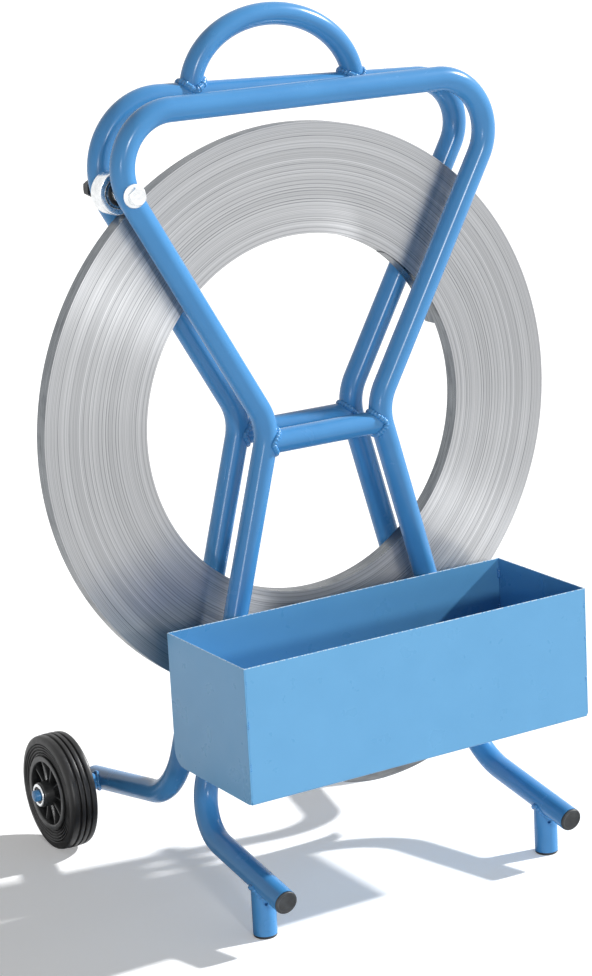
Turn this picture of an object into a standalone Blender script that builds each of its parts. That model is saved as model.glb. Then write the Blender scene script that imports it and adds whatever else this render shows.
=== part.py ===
"""Mobile dispenser for ribbon-wound steel strapping, with tool tray and two transport wheels.

The coil of strap stands on edge between two bent-tube frames. It rests on two support rollers
low on the legs and leans on a guide roller at the upper left. X runs to the right of somebody
facing the tool tray, Y runs from the tray to the wheels and Z is up. Dimensions are taken from
the floor midway between the legs and between the two frames; at the end the whole machine is
moved so that the origin lies under the middle of its overall box. Units are metres.
"""

import math

import bmesh
import bpy
from mathutils import Vector

MM = 0.001

# Air left between pieces that touch on the real machine.
GAP = 0.3 * MM

# Coil of strap, 19 x 0.5 mm, standing on edge.
COIL_RADIUS = 325.0 * MM
COIL_BORE_RADIUS = 202.5 * MM
COIL_CENTRE_X = -8.0 * MM
COIL_OVER_FLOOR = 198.0 * MM
STRAP_WIDTH = 19.0 * MM
STRAP_THICKNESS = 0.5 * MM

# Frame tube and the outline that its centreline follows before the bends are rounded.
TUBE_RADIUS = 13.5 * MM
TUBE_WALL = 2.0 * MM
BEND_RADIUS = 60.0 * MM
FRAME_Y = 31.0 * MM
RAIL_OVER_COIL = 32.0 * MM
BACK_CORNER_RISE = {-1: 12.3 * MM, 1: -7.3 * MM}
BACK_RAIL_BENDS = (73.0 * MM, 52.0 * MM)
WAIST_HALF = 71.0 * MM
WAIST_OVER_CENTRE = 1.0 * MM
ARM_SPREAD = 0.567
LEG_SPREAD = 0.269
CROSSBAR_DROP = 19.0 * MM

# Feet: the tube ends run out level with the floor, falling slightly.
FOOT_FALL = math.radians(10.0)
FRONT_FOOT_Z = 86.0 * MM
FRONT_FOOT_REACH = 182.0 * MM
BACK_FOOT_PAST_AXLE = 25.0 * MM
POST_FROM_END = 47.0 * MM
VENT_RADIUS = 1.6 * MM
VENT_Z = 41.0 * MM
VENT_ASIDE = -4.0 * MM

# Plastic plugs in the tube ends and under the foot posts.
PLUG_SLACK = 0.9 * MM
PLUG_FLANGE = 3.0 * MM
PLUG_STEM = 12.0 * MM

# Carrying handle, an elliptical arch on the back rail.
HANDLE_RADIUS = 12.5 * MM
HANDLE_HALF = 104.0 * MM
HANDLE_RISE = 81.5 * MM
HANDLE_OFF_MIDDLE = -5.0 * MM

# Tool tray of folded sheet.
TRAY_WIDTH = 442.0 * MM
TRAY_DEPTH = 165.0 * MM
TRAY_HEIGHT = 151.0 * MM
TRAY_FLOOR_Z = 169.0 * MM
TRAY_SHEET = 1.5 * MM
TRAY_BACK_BEND = 18.0 * MM
TRAY_FRONT_BEND = 2.5 * MM
TRAY_END_CORNER = 6.0 * MM

# Rollers, their sealed bearings and the bolts that carry them and tie the frames together.
ROLLER_RADIUS = 23.5 * MM
ROLLER_WIDTH = 21.0 * MM
ROLLER_CHAMFER = 1.2 * MM
BEARING_RADIUS = 16.0 * MM
BEARING_WIDTH = 10.0 * MM
BOLT_RADIUS = 6.0 * MM
BOLT_FLANGE_RADIUS = 13.0 * MM
BOLT_FLANGE = 2.5 * MM
HEX_ACROSS_FLATS = 18.0 * MM
HEAD_HEIGHT = 8.0 * MM
NUT_HEIGHT = 11.0 * MM
BOLT_TIP = 2.0 * MM
SLEEVE_WALL = 3.5 * MM

# Transport wheels and their stub axles.
WHEEL_RADIUS = 69.0 * MM
WHEEL_WIDTH = 35.0 * MM
WHEEL_CENTRE_Y = 209.0 * MM
RIM_RADIUS = 43.0 * MM
RIM_WIDTH = 37.0 * MM
RIM_BAND = 5.0 * MM
HUB_RADIUS = 15.0 * MM
HUB_INSIDE = 15.0 * MM
HUB_OUTSIDE = 27.0 * MM
RIM_WEB = 3.0 * MM
RIB_COUNT = 10
RIB_THICKNESS = 3.0 * MM
AXLE_RADIUS = 7.0 * MM
AXLE_PROUD = 8.0 * MM
AXLE_PAST_FOOT = 3.0 * MM
RETAINER_RADIUS = 13.6 * MM
RETAINER_THICKNESS = 1.5 * MM
SHOULDER_RADIUS = 10.0 * MM
SHOULDER_LENGTH = 30.4 * MM

# Loose end of the strap: points under the coil, across and up from the coil's lowest point.
TAIL_LEAVES_AT = math.radians(19.0)
TAIL_POINTS = (
    (-60.0 * MM, -48.0 * MM),
    (-23.0 * MM, -89.0 * MM),
    (22.0 * MM, -116.0 * MM),
    (78.0 * MM, -125.0 * MM),
    (144.0 * MM, -115.0 * MM),
    (202.0 * MM, -85.0 * MM),
)
TAIL_SPAN_STEPS = 3

# Facets.
TUBE_BEVEL_RESOLUTION = 4
BEND_STEP = math.radians(16.0)
HANDLE_STEPS = 16
ROUND_STEPS = 24
SMALL_STEPS = 16
COIL_STEPS = 72
WHEEL_STEPS = 36

COIL_CENTRE_Z = COIL_OVER_FLOOR + COIL_RADIUS
WAIST_Z = COIL_CENTRE_Z + WAIST_OVER_CENTRE
RAIL_Z = COIL_CENTRE_Z + COIL_RADIUS + RAIL_OVER_COIL
CROSSBAR_Z = WAIST_Z - CROSSBAR_DROP
BACK_FOOT_REACH = WHEEL_CENTRE_Y - FRAME_Y + BACK_FOOT_PAST_AXLE
BACK_FOOT_Z = WHEEL_RADIUS + (WHEEL_CENTRE_Y - FRAME_Y) * math.tan(FOOT_FALL)
ROLLER_ORBIT = COIL_RADIUS + ROLLER_RADIUS + GAP
TUBE_FACE_Y = FRAME_Y + TUBE_RADIUS
BORE_RADIUS = TUBE_RADIUS - TUBE_WALL
BACK_FOOT_X = WAIST_HALF + LEG_SPREAD * (WAIST_Z - BACK_FOOT_Z)
SHOULDER_START = BACK_FOOT_X + TUBE_RADIUS + GAP
HUB_START = SHOULDER_START + SHOULDER_LENGTH + GAP
WHEEL_CENTRE_X = HUB_START + HUB_INSIDE
HUB_END = WHEEL_CENTRE_X + HUB_OUTSIDE
FRONT_EXTENT = (
    FRAME_Y
    + FRONT_FOOT_REACH
    + PLUG_FLANGE * math.cos(FOOT_FALL)
    + (TUBE_RADIUS - GAP - PLUG_FLANGE / 3) * math.sin(FOOT_FALL)
)
BACK_EXTENT = WHEEL_CENTRE_Y + WHEEL_RADIUS

TRAY_BOLTS = ("support_roller_left", "support_roller_right")

FACE_FRONT = (math.pi / 2, 0.0, 0.0)
FACE_RIGHT = (0.0, math.pi / 2, 0.0)
FACE_LEFT = (0.0, -math.pi / 2, 0.0)


def clear_scene():
    """Remove every object of the start-up scene."""
    for obj in list(bpy.data.objects):
        bpy.data.objects.remove(obj, do_unlink=True)


def make_collection(name):
    """Return a new collection linked to the scene."""
    collection = bpy.data.collections.new(name)
    bpy.context.scene.collection.children.link(collection)
    return collection


def make_material(name, colour, roughness, metallic=0.0):
    """Return a Principled material with an even colour."""
    material = bpy.data.materials.new(name)
    material.use_nodes = True
    shader = material.node_tree.nodes["Principled BSDF"]
    shader.inputs["Base Color"].default_value = (*colour, 1.0)
    shader.inputs["Roughness"].default_value = roughness
    shader.inputs["Metallic"].default_value = metallic
    return material


clear_scene()
PARTS = make_collection("strap_dispenser")
CUTTERS = make_collection("cutters")
BLUE = make_material("blue_enamel", (0.07, 0.27, 0.60), 0.3)
ZINC = make_material("zinc_plate", (0.72, 0.73, 0.74), 0.3, 1.0)
STEEL = make_material("strap_steel", (0.50, 0.51, 0.52), 0.35, 1.0)
BEARING = make_material("bearing_steel", (0.30, 0.30, 0.31), 0.3, 1.0)
RUBBER = make_material("tyre_rubber", (0.02, 0.02, 0.02), 0.7)
RIM_PLASTIC = make_material("rim_plastic", (0.03, 0.03, 0.03), 0.5)
PLUG_PLASTIC = make_material("plug_plastic", (0.02, 0.02, 0.02), 0.45)


def add_object(name, data, material=None, location=(0, 0, 0), rotation=(0, 0, 0)):
    """Link a part; without a material the object is a hidden cutter."""
    obj = bpy.data.objects.new(name, data)
    obj.location = location
    obj.rotation_euler = rotation
    if material:
        data.materials.clear()
        data.materials.append(material)
        PARTS.objects.link(obj)
    else:
        obj.hide_render = True
        obj.display_type = "WIRE"
        CUTTERS.objects.link(obj)
    return obj


def mesh_from(bm, name):
    """Turn a bmesh into mesh data with outward normals."""
    bmesh.ops.recalc_face_normals(bm, faces=bm.faces)
    mesh = bpy.data.meshes.new(name)
    bm.to_mesh(mesh)
    bm.free()
    return mesh


def smooth(mesh, angle=35.0):
    """Shade round faces smooth and keep the edges sharp."""
    mesh.shade_smooth()
    mesh.set_sharp_from_angle(angle=math.radians(angle))


def apply_boolean(obj, other, operation="DIFFERENCE"):
    """Cut another object from this one, or join it."""
    modifier = obj.modifiers.new(f"{operation.lower()}_{other.name}", "BOOLEAN")
    modifier.operation = operation
    modifier.solver = "EXACT"
    modifier.object = other


def cylinder(name, radius, length, location, rotation, material=None, segments=ROUND_STEPS):
    """A capped cylinder about its own Z axis, centred on its location."""
    bm = bmesh.new()
    bmesh.ops.create_cone(
        bm, cap_ends=True, segments=segments, radius1=radius, radius2=radius, depth=length
    )
    return add_object(name, mesh_from(bm, name), material, location, rotation)


def turned(name, profile, material, location, rotation=(0, 0, 0), steps=ROUND_STEPS):
    """A turned piece: the profile is a closed loop of (radius, height), or starts and ends at radius 0."""
    bm = bmesh.new()
    points = [bm.verts.new((radius, 0.0, height)) for radius, height in profile]
    for first, second in zip(points, points[1:]):
        bm.edges.new((first, second))
    on_axis = profile[0][0] == 0.0
    if not on_axis:
        bm.edges.new((points[-1], points[0]))
    mesh = bpy.data.meshes.new(name)
    bm.to_mesh(mesh)
    bm.free()
    obj = add_object(name, mesh, material, location, rotation)
    screw = obj.modifiers.new("turn", "SCREW")
    screw.axis = "Z"
    screw.steps = steps
    screw.render_steps = steps
    screw.use_merge_vertices = True
    screw.merge_threshold = 0.00001
    screw.use_smooth_shade = True
    return obj


def ring_profile(inner, outer, low, high, chamfer=0.0):
    """Closed profile of a plain ring, with its outer edges chamfered."""
    if not chamfer:
        return [(outer, high), (outer, low), (inner, low), (inner, high)]
    return [
        (outer - chamfer, high),
        (outer, high - chamfer),
        (outer, low + chamfer),
        (outer - chamfer, low),
        (inner, low),
        (inner, high),
    ]


def rounded(corners, radii):
    """The points of a bent tube's centreline: straight runs joined by an arc at each inner corner."""
    points = [corners[0]]
    for before, corner, after, radius in zip(corners, corners[1:], corners[2:], radii):
        inward = (before - corner).normalized()
        outward = (after - corner).normalized()
        half = inward.angle(outward) / 2
        centre = corner + (inward + outward).normalized() * (radius / math.sin(half))
        start = corner + inward * (radius / math.tan(half)) - centre
        end = corner + outward * (radius / math.tan(half)) - centre
        turn = start.angle(end)
        steps = math.ceil(turn / BEND_STEP)
        for step in range(steps + 1):
            share = step / steps
            near = math.sin((1 - share) * turn) / math.sin(turn)
            far = math.sin(share * turn) / math.sin(turn)
            points.append(centre + start * near + end * far)
    points.append(corners[-1])
    return points


def tube_mesh(name, points, radius, capped):
    """Mesh of a round tube along the points, as an open skin or with closed ends."""
    curve = bpy.data.curves.new(name, "CURVE")
    curve.dimensions = "3D"
    curve.bevel_depth = radius
    curve.bevel_resolution = TUBE_BEVEL_RESOLUTION
    curve.use_fill_caps = capped
    spline = curve.splines.new("POLY")
    spline.points.add(len(points) - 1)
    for point, place in zip(spline.points, points):
        point.co = (*place, 1.0)
    guide = bpy.data.objects.new(name + "_guide", curve)
    CUTTERS.objects.link(guide)
    evaluated = guide.evaluated_get(bpy.context.evaluated_depsgraph_get())
    mesh = bpy.data.meshes.new_from_object(evaluated)
    bpy.data.objects.remove(guide, do_unlink=True)
    bm = bmesh.new()
    bm.from_mesh(mesh)
    bmesh.ops.remove_doubles(bm, verts=bm.verts, dist=0.000001)
    bpy.data.meshes.remove(mesh)
    mesh = mesh_from(bm, name)
    smooth(mesh)
    return mesh


def hollow_tube(name, points, radius, wall, material):
    """A bent tube with a real wall and open ends."""
    obj = add_object(name, tube_mesh(name, points, radius, capped=False), material)
    shell = obj.modifiers.new("wall", "SOLIDIFY")
    shell.thickness = wall
    shell.offset = -1.0
    shell.use_even_offset = True
    return obj


def tube_envelope(name, points, radius):
    """A hidden solid a little larger than a tube, which copes the ends that meet it."""
    return add_object(name, tube_mesh(name, points, radius + GAP, capped=True))


def foot_corner(side, foot_z):
    """Where the leg's straight line would meet the foot, before bending."""
    return side * (WAIST_HALF + LEG_SPREAD * (WAIST_Z - foot_z))


def rail_corner(side, depth_side):
    """Where an arm and the rail would meet; the back frame's rail is bent askew."""
    height = RAIL_Z + (BACK_CORNER_RISE[side] if depth_side > 0 else 0.0)
    half = WAIST_HALF + ARM_SPREAD * (height - WAIST_Z)
    return Vector((side * half, depth_side * FRAME_Y, height))


def frame_corners(depth_side, foot_z, reach):
    """The sharp outline of one frame from its left foot over the rail to its right foot."""
    corners = []
    plane = depth_side * FRAME_Y
    for side in (-1, 1):
        foot_x = foot_corner(side, foot_z)
        half = [
            Vector((foot_x, plane + depth_side * reach, foot_z - reach * math.tan(FOOT_FALL))),
            Vector((foot_x, plane, foot_z)),
            Vector((side * WAIST_HALF, plane, WAIST_Z)),
            rail_corner(side, depth_side),
        ]
        corners += half if side < 0 else half[::-1]
    return corners


def foot_axis(depth_side):
    """The direction in which a foot runs out, towards its open end."""
    return Vector((0.0, depth_side * math.cos(FOOT_FALL), -math.sin(FOOT_FALL)))


def on_centreline(path, distance):
    """The point of a frame's centreline at a distance from the coil's axis, in X and Z."""
    centre = Vector((COIL_CENTRE_X, COIL_CENTRE_Z))
    flat = [Vector((point.x, point.z)) for point in path if abs(abs(point.y) - FRAME_Y) < GAP]
    for first, second in zip(flat, flat[1:]):
        near = (first - centre).length - distance
        far = (second - centre).length - distance
        if near * far <= 0.0:
            low, high = 0.0, 1.0
            for _ in range(40):
                middle = (low + high) / 2
                reached = (first.lerp(second, middle) - centre).length - distance
                if reached * near > 0.0:
                    low = middle
                else:
                    high = middle
            return first.lerp(second, low)
    raise ValueError("no part of the frame lies at this distance from the coil")


def half_path(path, side):
    """One half of a frame's centreline, from its foot to the rail."""
    half = [point for point in path if side * point.x > 0.0]
    return half if side < 0 else half[::-1]


FRONT_PATH = rounded(frame_corners(-1, FRONT_FOOT_Z, FRONT_FOOT_REACH), 6 * [BEND_RADIUS])
BACK_PATH = rounded(
    frame_corners(1, BACK_FOOT_Z, BACK_FOOT_REACH),
    [BEND_RADIUS, BEND_RADIUS, *BACK_RAIL_BENDS, BEND_RADIUS, BEND_RADIUS],
)
ROLLER_PLACES = {
    "support_roller_left": on_centreline(half_path(FRONT_PATH, -1), ROLLER_ORBIT),
    "support_roller_right": on_centreline(half_path(FRONT_PATH, 1), ROLLER_ORBIT),
    "guide_roller": on_centreline(half_path(FRONT_PATH, -1)[::-1], ROLLER_ORBIT),
}


def build_drills():
    """A hidden cylinder along each roller bolt, which bores what the bolt passes through."""
    drills = {}
    for name, (x, z) in ROLLER_PLACES.items():
        drills[name] = cylinder(
            f"{name}_drill", BOLT_RADIUS + GAP, 4 * TUBE_FACE_Y, (x, 0.0, z), FACE_FRONT
        )
    return drills


def build_frames(drills):
    """The two bent tubes, drilled for the roller bolts, the back one also for the stub axles."""
    front = hollow_tube("front_frame_tube", FRONT_PATH, TUBE_RADIUS, TUBE_WALL, BLUE)
    back = hollow_tube("back_frame_tube", BACK_PATH, TUBE_RADIUS, TUBE_WALL, BLUE)
    for drill in drills.values():
        apply_boolean(front, drill)
        apply_boolean(back, drill)
    axle_drill = cylinder(
        "axle_drill",
        AXLE_RADIUS + GAP,
        2 * WHEEL_CENTRE_X,
        (0.0, WHEEL_CENTRE_Y, WHEEL_RADIUS),
        FACE_RIGHT,
    )
    apply_boolean(back, axle_drill)
    return (
        tube_envelope("front_frame_cope", FRONT_PATH, TUBE_RADIUS),
        tube_envelope("back_frame_cope", BACK_PATH, TUBE_RADIUS),
    )


def build_crossbars(front_cope, back_cope):
    """A tube across each waist, coped to the frame it is welded into."""
    for name, plane, cope in (
        ("front_crossbar", -FRAME_Y, front_cope),
        ("back_crossbar", FRAME_Y, back_cope),
    ):
        ends = [Vector((side * (WAIST_HALF + TUBE_WALL), plane, CROSSBAR_Z)) for side in (-1, 1)]
        bar = hollow_tube(name, ends, TUBE_RADIUS, TUBE_WALL, BLUE)
        apply_boolean(bar, cope)


def build_handle(back_cope):
    """The arch welded on the back rail, from which the trolley is carried and tipped."""
    left, right = rail_corner(-1, 1), rail_corner(1, 1)
    points = []
    for step in range(HANDLE_STEPS + 1):
        angle = math.pi * step / HANDLE_STEPS
        across = HANDLE_OFF_MIDDLE - HANDLE_HALF * math.cos(angle)
        place = left.lerp(right, (across - left.x) / (right.x - left.x))
        points.append(place + Vector((0.0, 0.0, HANDLE_RISE * math.sin(angle))))
    handle = hollow_tube("carrying_handle", points, HANDLE_RADIUS, TUBE_WALL, BLUE)
    apply_boolean(handle, back_cope)


def tray_section(front_bend):
    """The outline in Y and Z from the tray's front lip, down past its floor, to its back lip."""
    back = -(TUBE_FACE_Y + GAP)
    front = back - TRAY_DEPTH
    low = TRAY_FLOOR_Z
    high = TRAY_FLOOR_Z + TRAY_HEIGHT
    points = [(front, high)]
    for centre_y, radius, start in (
        (front + front_bend, front_bend, math.pi),
        (back - TRAY_BACK_BEND, TRAY_BACK_BEND, 1.5 * math.pi),
    ):
        steps = 3 if radius == front_bend else 6
        for step in range(steps + 1):
            angle = start + math.pi / 2 * step / steps
            points.append(
                (centre_y + radius * math.cos(angle), low + radius + radius * math.sin(angle))
            )
    points.append((back, high))
    return points


def build_tray(drills):
    """Folded front, floor and back in one sheet, closed by two welded end plates.

    The support rollers' bolts pass through its back and hold it against the front legs.
    """
    half = TRAY_WIDTH / 2 - TRAY_SHEET - GAP
    bm = bmesh.new()
    line = [bm.verts.new((-half, y, z)) for y, z in tray_section(TRAY_FRONT_BEND)]
    edges = [bm.edges.new(pair) for pair in zip(line, line[1:])]
    grown = bmesh.ops.extrude_edge_only(bm, edges=edges)
    moved = [item for item in grown["geom"] if isinstance(item, bmesh.types.BMVert)]
    bmesh.ops.translate(bm, verts=moved, vec=(2 * half, 0.0, 0.0))
    mesh = mesh_from(bm, "tray_body")
    sheet = add_object("tray_body", mesh, BLUE)
    wall = sheet.modifiers.new("sheet", "SOLIDIFY")
    wall.thickness = TRAY_SHEET
    wall.offset = -1.0
    wall.use_even_offset = True
    for name in TRAY_BOLTS:
        apply_boolean(sheet, drills[name])
    for name, side in (("tray_end_left", -1), ("tray_end_right", 1)):
        plate = bmesh.new()
        x = side * TRAY_WIDTH / 2
        outline = tray_section(TRAY_END_CORNER)
        face = plate.faces.new([plate.verts.new((x, y, z)) for y, z in outline])
        grown = bmesh.ops.extrude_face_region(plate, geom=[face])
        moved = [item for item in grown["geom"] if isinstance(item, bmesh.types.BMVert)]
        bmesh.ops.translate(plate, verts=moved, vec=(-side * TRAY_SHEET, 0.0, 0.0))
        add_object(name, mesh_from(plate, name), BLUE)


def plug(name, at, axis):
    """A plastic plug whose flange covers a tube end at this place; the axis points out of the tube."""
    flange = TUBE_RADIUS - GAP
    stem = BORE_RADIUS - PLUG_SLACK
    profile = [
        (0.0, PLUG_FLANGE),
        (flange - PLUG_FLANGE / 3, PLUG_FLANGE),
        (flange, 2 * PLUG_FLANGE / 3),
        (flange, GAP),
        (stem, GAP),
        (stem, -PLUG_STEM),
        (0.0, -PLUG_STEM),
    ]
    rotation = Vector((0.0, 0.0, 1.0)).rotation_difference(axis).to_euler()
    turned(name, profile, PLUG_PLASTIC, at, rotation, SMALL_STEPS)


def build_feet(front_cope):
    """The posts under the front feet and the plugs in every open tube end."""
    post_y = -(FRAME_Y + FRONT_FOOT_REACH - POST_FROM_END)
    top = FRONT_FOOT_Z - (FRONT_FOOT_REACH - POST_FROM_END) * math.tan(FOOT_FALL)
    for name, side in (("left", -1), ("right", 1)):
        x = foot_corner(side, FRONT_FOOT_Z)
        ends = [Vector((x, post_y, PLUG_FLANGE)), Vector((x, post_y, top))]
        post = hollow_tube(f"foot_post_{name}", ends, TUBE_RADIUS, TUBE_WALL, BLUE)
        apply_boolean(post, front_cope)
        vent = cylinder(
            f"vent_{name}",
            VENT_RADIUS,
            TUBE_RADIUS,
            (x + VENT_ASIDE, post_y - TUBE_RADIUS, VENT_Z),
            FACE_FRONT,
            segments=10,
        )
        apply_boolean(post, vent)
        plug(f"foot_pad_{name}", Vector((x, post_y, PLUG_FLANGE)), Vector((0.0, 0.0, -1.0)))
        for where, depth_side, foot_z, reach in (
            ("front", -1, FRONT_FOOT_Z, FRONT_FOOT_REACH),
            ("back", 1, BACK_FOOT_Z, BACK_FOOT_REACH),
        ):
            end = Vector(
                (
                    foot_corner(side, foot_z),
                    depth_side * (FRAME_Y + reach),
                    foot_z - reach * math.tan(FOOT_FALL),
                )
            )
            plug(f"{where}_end_plug_{name}", end, foot_axis(depth_side))


def hexagon(name, height, location, material=None):
    """A hexagonal prism about the Y axis."""
    circumradius = HEX_ACROSS_FLATS / 2 / math.cos(math.pi / 6)
    return cylinder(name, circumradius, height, location, FACE_FRONT, material, segments=6)


def build_bolt(name, x, z):
    """A flanged bolt through both frames, with its nut behind the back frame."""
    head_y = -(TUBE_FACE_Y + GAP)
    if name in TRAY_BOLTS:
        head_y -= TRAY_SHEET + GAP
    tip_y = TUBE_FACE_Y + NUT_HEIGHT + BOLT_TIP
    profile = [
        (0.0, -head_y + BOLT_FLANGE),
        (HEX_ACROSS_FLATS / 2, -head_y + BOLT_FLANGE),
        (BOLT_FLANGE_RADIUS, -head_y + BOLT_FLANGE / 3),
        (BOLT_FLANGE_RADIUS, -head_y),
        (BOLT_RADIUS, -head_y),
        (BOLT_RADIUS, -tip_y),
        (0.0, -tip_y),
    ]
    bolt = turned(f"{name}_bolt", profile, ZINC, (x, 0.0, z), FACE_FRONT)
    hex_y = head_y - BOLT_FLANGE / 2 - HEAD_HEIGHT / 2
    apply_boolean(bolt, hexagon(f"{name}_bolt_hex", HEAD_HEIGHT, (x, hex_y, z)), "UNION")
    nut_y = TUBE_FACE_Y + GAP + NUT_HEIGHT / 2
    nut = hexagon(f"{name}_nut", NUT_HEIGHT, (x, nut_y, z), PLUG_PLASTIC)
    bore = cylinder(
        f"{name}_nut_bore", BOLT_RADIUS + GAP, 2 * NUT_HEIGHT, (x, nut_y, z), FACE_FRONT
    )
    apply_boolean(nut, bore)


def build_roller(name, x, z):
    """A steel roller on two sealed bearings, held midway between the frames by two sleeves."""
    half = ROLLER_WIDTH / 2
    place = (x, 0.0, z)
    shell = ring_profile(BEARING_RADIUS, ROLLER_RADIUS, -half, half, ROLLER_CHAMFER)
    turned(f"{name}_shell", shell, ZINC, place, FACE_FRONT)
    inner = BOLT_RADIUS + GAP
    for where, side in (("front", 1), ("back", -1)):
        bearing_at = (half - BEARING_WIDTH / 2) * side
        race = ring_profile(
            inner,
            BEARING_RADIUS - GAP,
            bearing_at - BEARING_WIDTH / 2,
            bearing_at + BEARING_WIDTH / 2,
        )
        turned(f"{name}_bearing_{where}", race, BEARING, place, FACE_FRONT)
        near = half + GAP
        far = FRAME_Y - TUBE_RADIUS - GAP
        low, high = sorted((side * near, side * far))
        sleeve = ring_profile(inner, inner + SLEEVE_WALL, low, high)
        turned(f"{name}_sleeve_{where}", sleeve, ZINC, place, FACE_FRONT, SMALL_STEPS)


def pocket_cutter(name, side):
    """Ten wedge-shaped pockets between the ribs of a wheel rim, on one face of its web."""
    inner = HUB_RADIUS
    outer = RIM_RADIUS - RIM_BAND
    bm = bmesh.new()
    for rib in range(RIB_COUNT):
        start = 2 * math.pi * rib / RIB_COUNT
        end = 2 * math.pi * (rib + 1) / RIB_COUNT
        outline = []
        for radius, shares in ((inner, (0.0, 1.0)), (outer, (1.0, 0.5, 0.0))):
            margin = math.asin(RIB_THICKNESS / 2 / radius)
            for share in shares:
                angle = start + margin + (end - start - 2 * margin) * share
                outline.append((radius * math.cos(angle), radius * math.sin(angle)))
        face = bm.faces.new([bm.verts.new((u, v, side * RIM_WEB / 2)) for u, v in outline])
        grown = bmesh.ops.extrude_face_region(bm, geom=[face])
        moved = [item for item in grown["geom"] if isinstance(item, bmesh.types.BMVert)]
        bmesh.ops.translate(bm, verts=moved, vec=(0.0, 0.0, side * RIM_WIDTH))
    return mesh_from(bm, name)


def build_wheel(name, side):
    """A ribbed plastic rim with a rubber tyre, free to turn on the axle."""
    place = (side * WHEEL_CENTRE_X, WHEEL_CENTRE_Y, WHEEL_RADIUS)
    rotation = FACE_RIGHT if side > 0 else FACE_LEFT
    half_rim = RIM_WIDTH / 2
    half_wheel = WHEEL_WIDTH / 2
    bore = AXLE_RADIUS + GAP
    profile = [
        (HUB_RADIUS, HUB_OUTSIDE),
        (HUB_RADIUS, half_rim),
        (RIM_RADIUS, half_rim),
        (RIM_RADIUS, -half_rim),
        (HUB_RADIUS, -half_rim),
        (HUB_RADIUS, -HUB_INSIDE),
        (bore, -HUB_INSIDE),
        (bore, HUB_OUTSIDE),
    ]
    rim = turned(f"wheel_rim_{name}", profile, RIM_PLASTIC, place, rotation, WHEEL_STEPS)
    for face, direction in (("outer", 1), ("inner", -1)):
        cutter_name = f"rim_pockets_{name}_{face}"
        cutter = add_object(cutter_name, pocket_cutter(cutter_name, direction))
        cutter.location = place
        cutter.rotation_euler = rotation
        apply_boolean(rim, cutter)
    shoulder = half_wheel * 0.62
    tread = WHEEL_RADIUS
    seat = RIM_RADIUS + GAP
    profile = [
        (seat, half_wheel * 0.8),
        (tread * 0.86, half_wheel),
        (tread * 0.97, half_wheel * 0.9),
        (tread, shoulder),
        (tread, -shoulder),
        (tread * 0.97, -half_wheel * 0.9),
        (tread * 0.86, -half_wheel),
        (seat, -half_wheel * 0.8),
    ]
    turned(f"tyre_{name}", profile, RUBBER, place, rotation, WHEEL_STEPS)


def build_axles():
    """A stub axle welded through each back foot, with its shoulder and the wheel's retainer."""
    place = (0.0, WHEEL_CENTRE_Y, WHEEL_RADIUS)
    inner = AXLE_RADIUS + GAP
    near = HUB_END + GAP
    far = near + RETAINER_THICKNESS
    start = BACK_FOOT_X - TUBE_RADIUS - AXLE_PAST_FOOT
    end = HUB_END + AXLE_PROUD
    for name, side, rotation in (("left", -1, FACE_LEFT), ("right", 1, FACE_RIGHT)):
        middle = (side * (start + end) / 2, WHEEL_CENTRE_Y, WHEEL_RADIUS)
        cylinder(f"stub_axle_{name}", AXLE_RADIUS, end - start, middle, rotation, BLUE)
        shoulder = ring_profile(inner, SHOULDER_RADIUS, SHOULDER_START, HUB_START - GAP)
        turned(f"axle_shoulder_{name}", shoulder, BLUE, place, rotation, SMALL_STEPS)
        retainer = ring_profile(inner, RETAINER_RADIUS, near, far)
        turned(f"wheel_retainer_{name}", retainer, ZINC, place, rotation, SMALL_STEPS)


def build_coil():
    """The coil of strap, wound one turn on another."""
    half = STRAP_WIDTH / 2
    profile = ring_profile(COIL_BORE_RADIUS, COIL_RADIUS, -half, half)
    place = (COIL_CENTRE_X, 0.0, COIL_CENTRE_Z)
    turned("strap_coil", profile, STEEL, place, FACE_FRONT, COIL_STEPS)


def smooth_path(points, per_span):
    """Points of a Catmull-Rom curve through the given points, starting at the second one."""
    path = []
    for before, first, second, after in zip(points, points[1:], points[2:], points[3:]):
        for step in range(per_span):
            t = step / per_span
            path.append(
                0.5
                * (
                    2 * first
                    + (second - before) * t
                    + (2 * before - 5 * first + 4 * second - after) * t * t
                    + (3 * first - before - 3 * second + after) * t * t * t
                )
            )
    path.append(points[-2])
    return path


def build_strap_tail():
    """The loose end of the strap, which springs away under the coil between the support rollers."""
    centre = Vector((COIL_CENTRE_X, COIL_CENTRE_Z))
    orbit = COIL_RADIUS + GAP + STRAP_THICKNESS
    start = centre + orbit * Vector((-math.sin(TAIL_LEAVES_AT), -math.cos(TAIL_LEAVES_AT)))
    along = Vector((math.cos(TAIL_LEAVES_AT), -math.sin(TAIL_LEAVES_AT)))
    lowest = centre - Vector((0.0, COIL_RADIUS))
    guide = [lowest + Vector(point) for point in TAIL_POINTS]
    last = guide[-1] + (guide[-1] - guide[-2])
    path = smooth_path([start - along * guide[0].length / 4, start, *guide, last], TAIL_SPAN_STEPS)
    bm = bmesh.new()
    half = STRAP_WIDTH / 2
    line = [bm.verts.new((point.x, -half, point.y)) for point in path]
    edges = [bm.edges.new(pair) for pair in zip(line, line[1:])]
    grown = bmesh.ops.extrude_edge_only(bm, edges=edges)
    moved = [item for item in grown["geom"] if isinstance(item, bmesh.types.BMVert)]
    bmesh.ops.translate(bm, verts=moved, vec=(0.0, 2 * half, 0.0))
    tail = add_object("strap_tail", mesh_from(bm, "strap_tail"), STEEL)
    sheet = tail.modifiers.new("strap", "SOLIDIFY")
    sheet.thickness = STRAP_THICKNESS
    sheet.offset = 0.0


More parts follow.
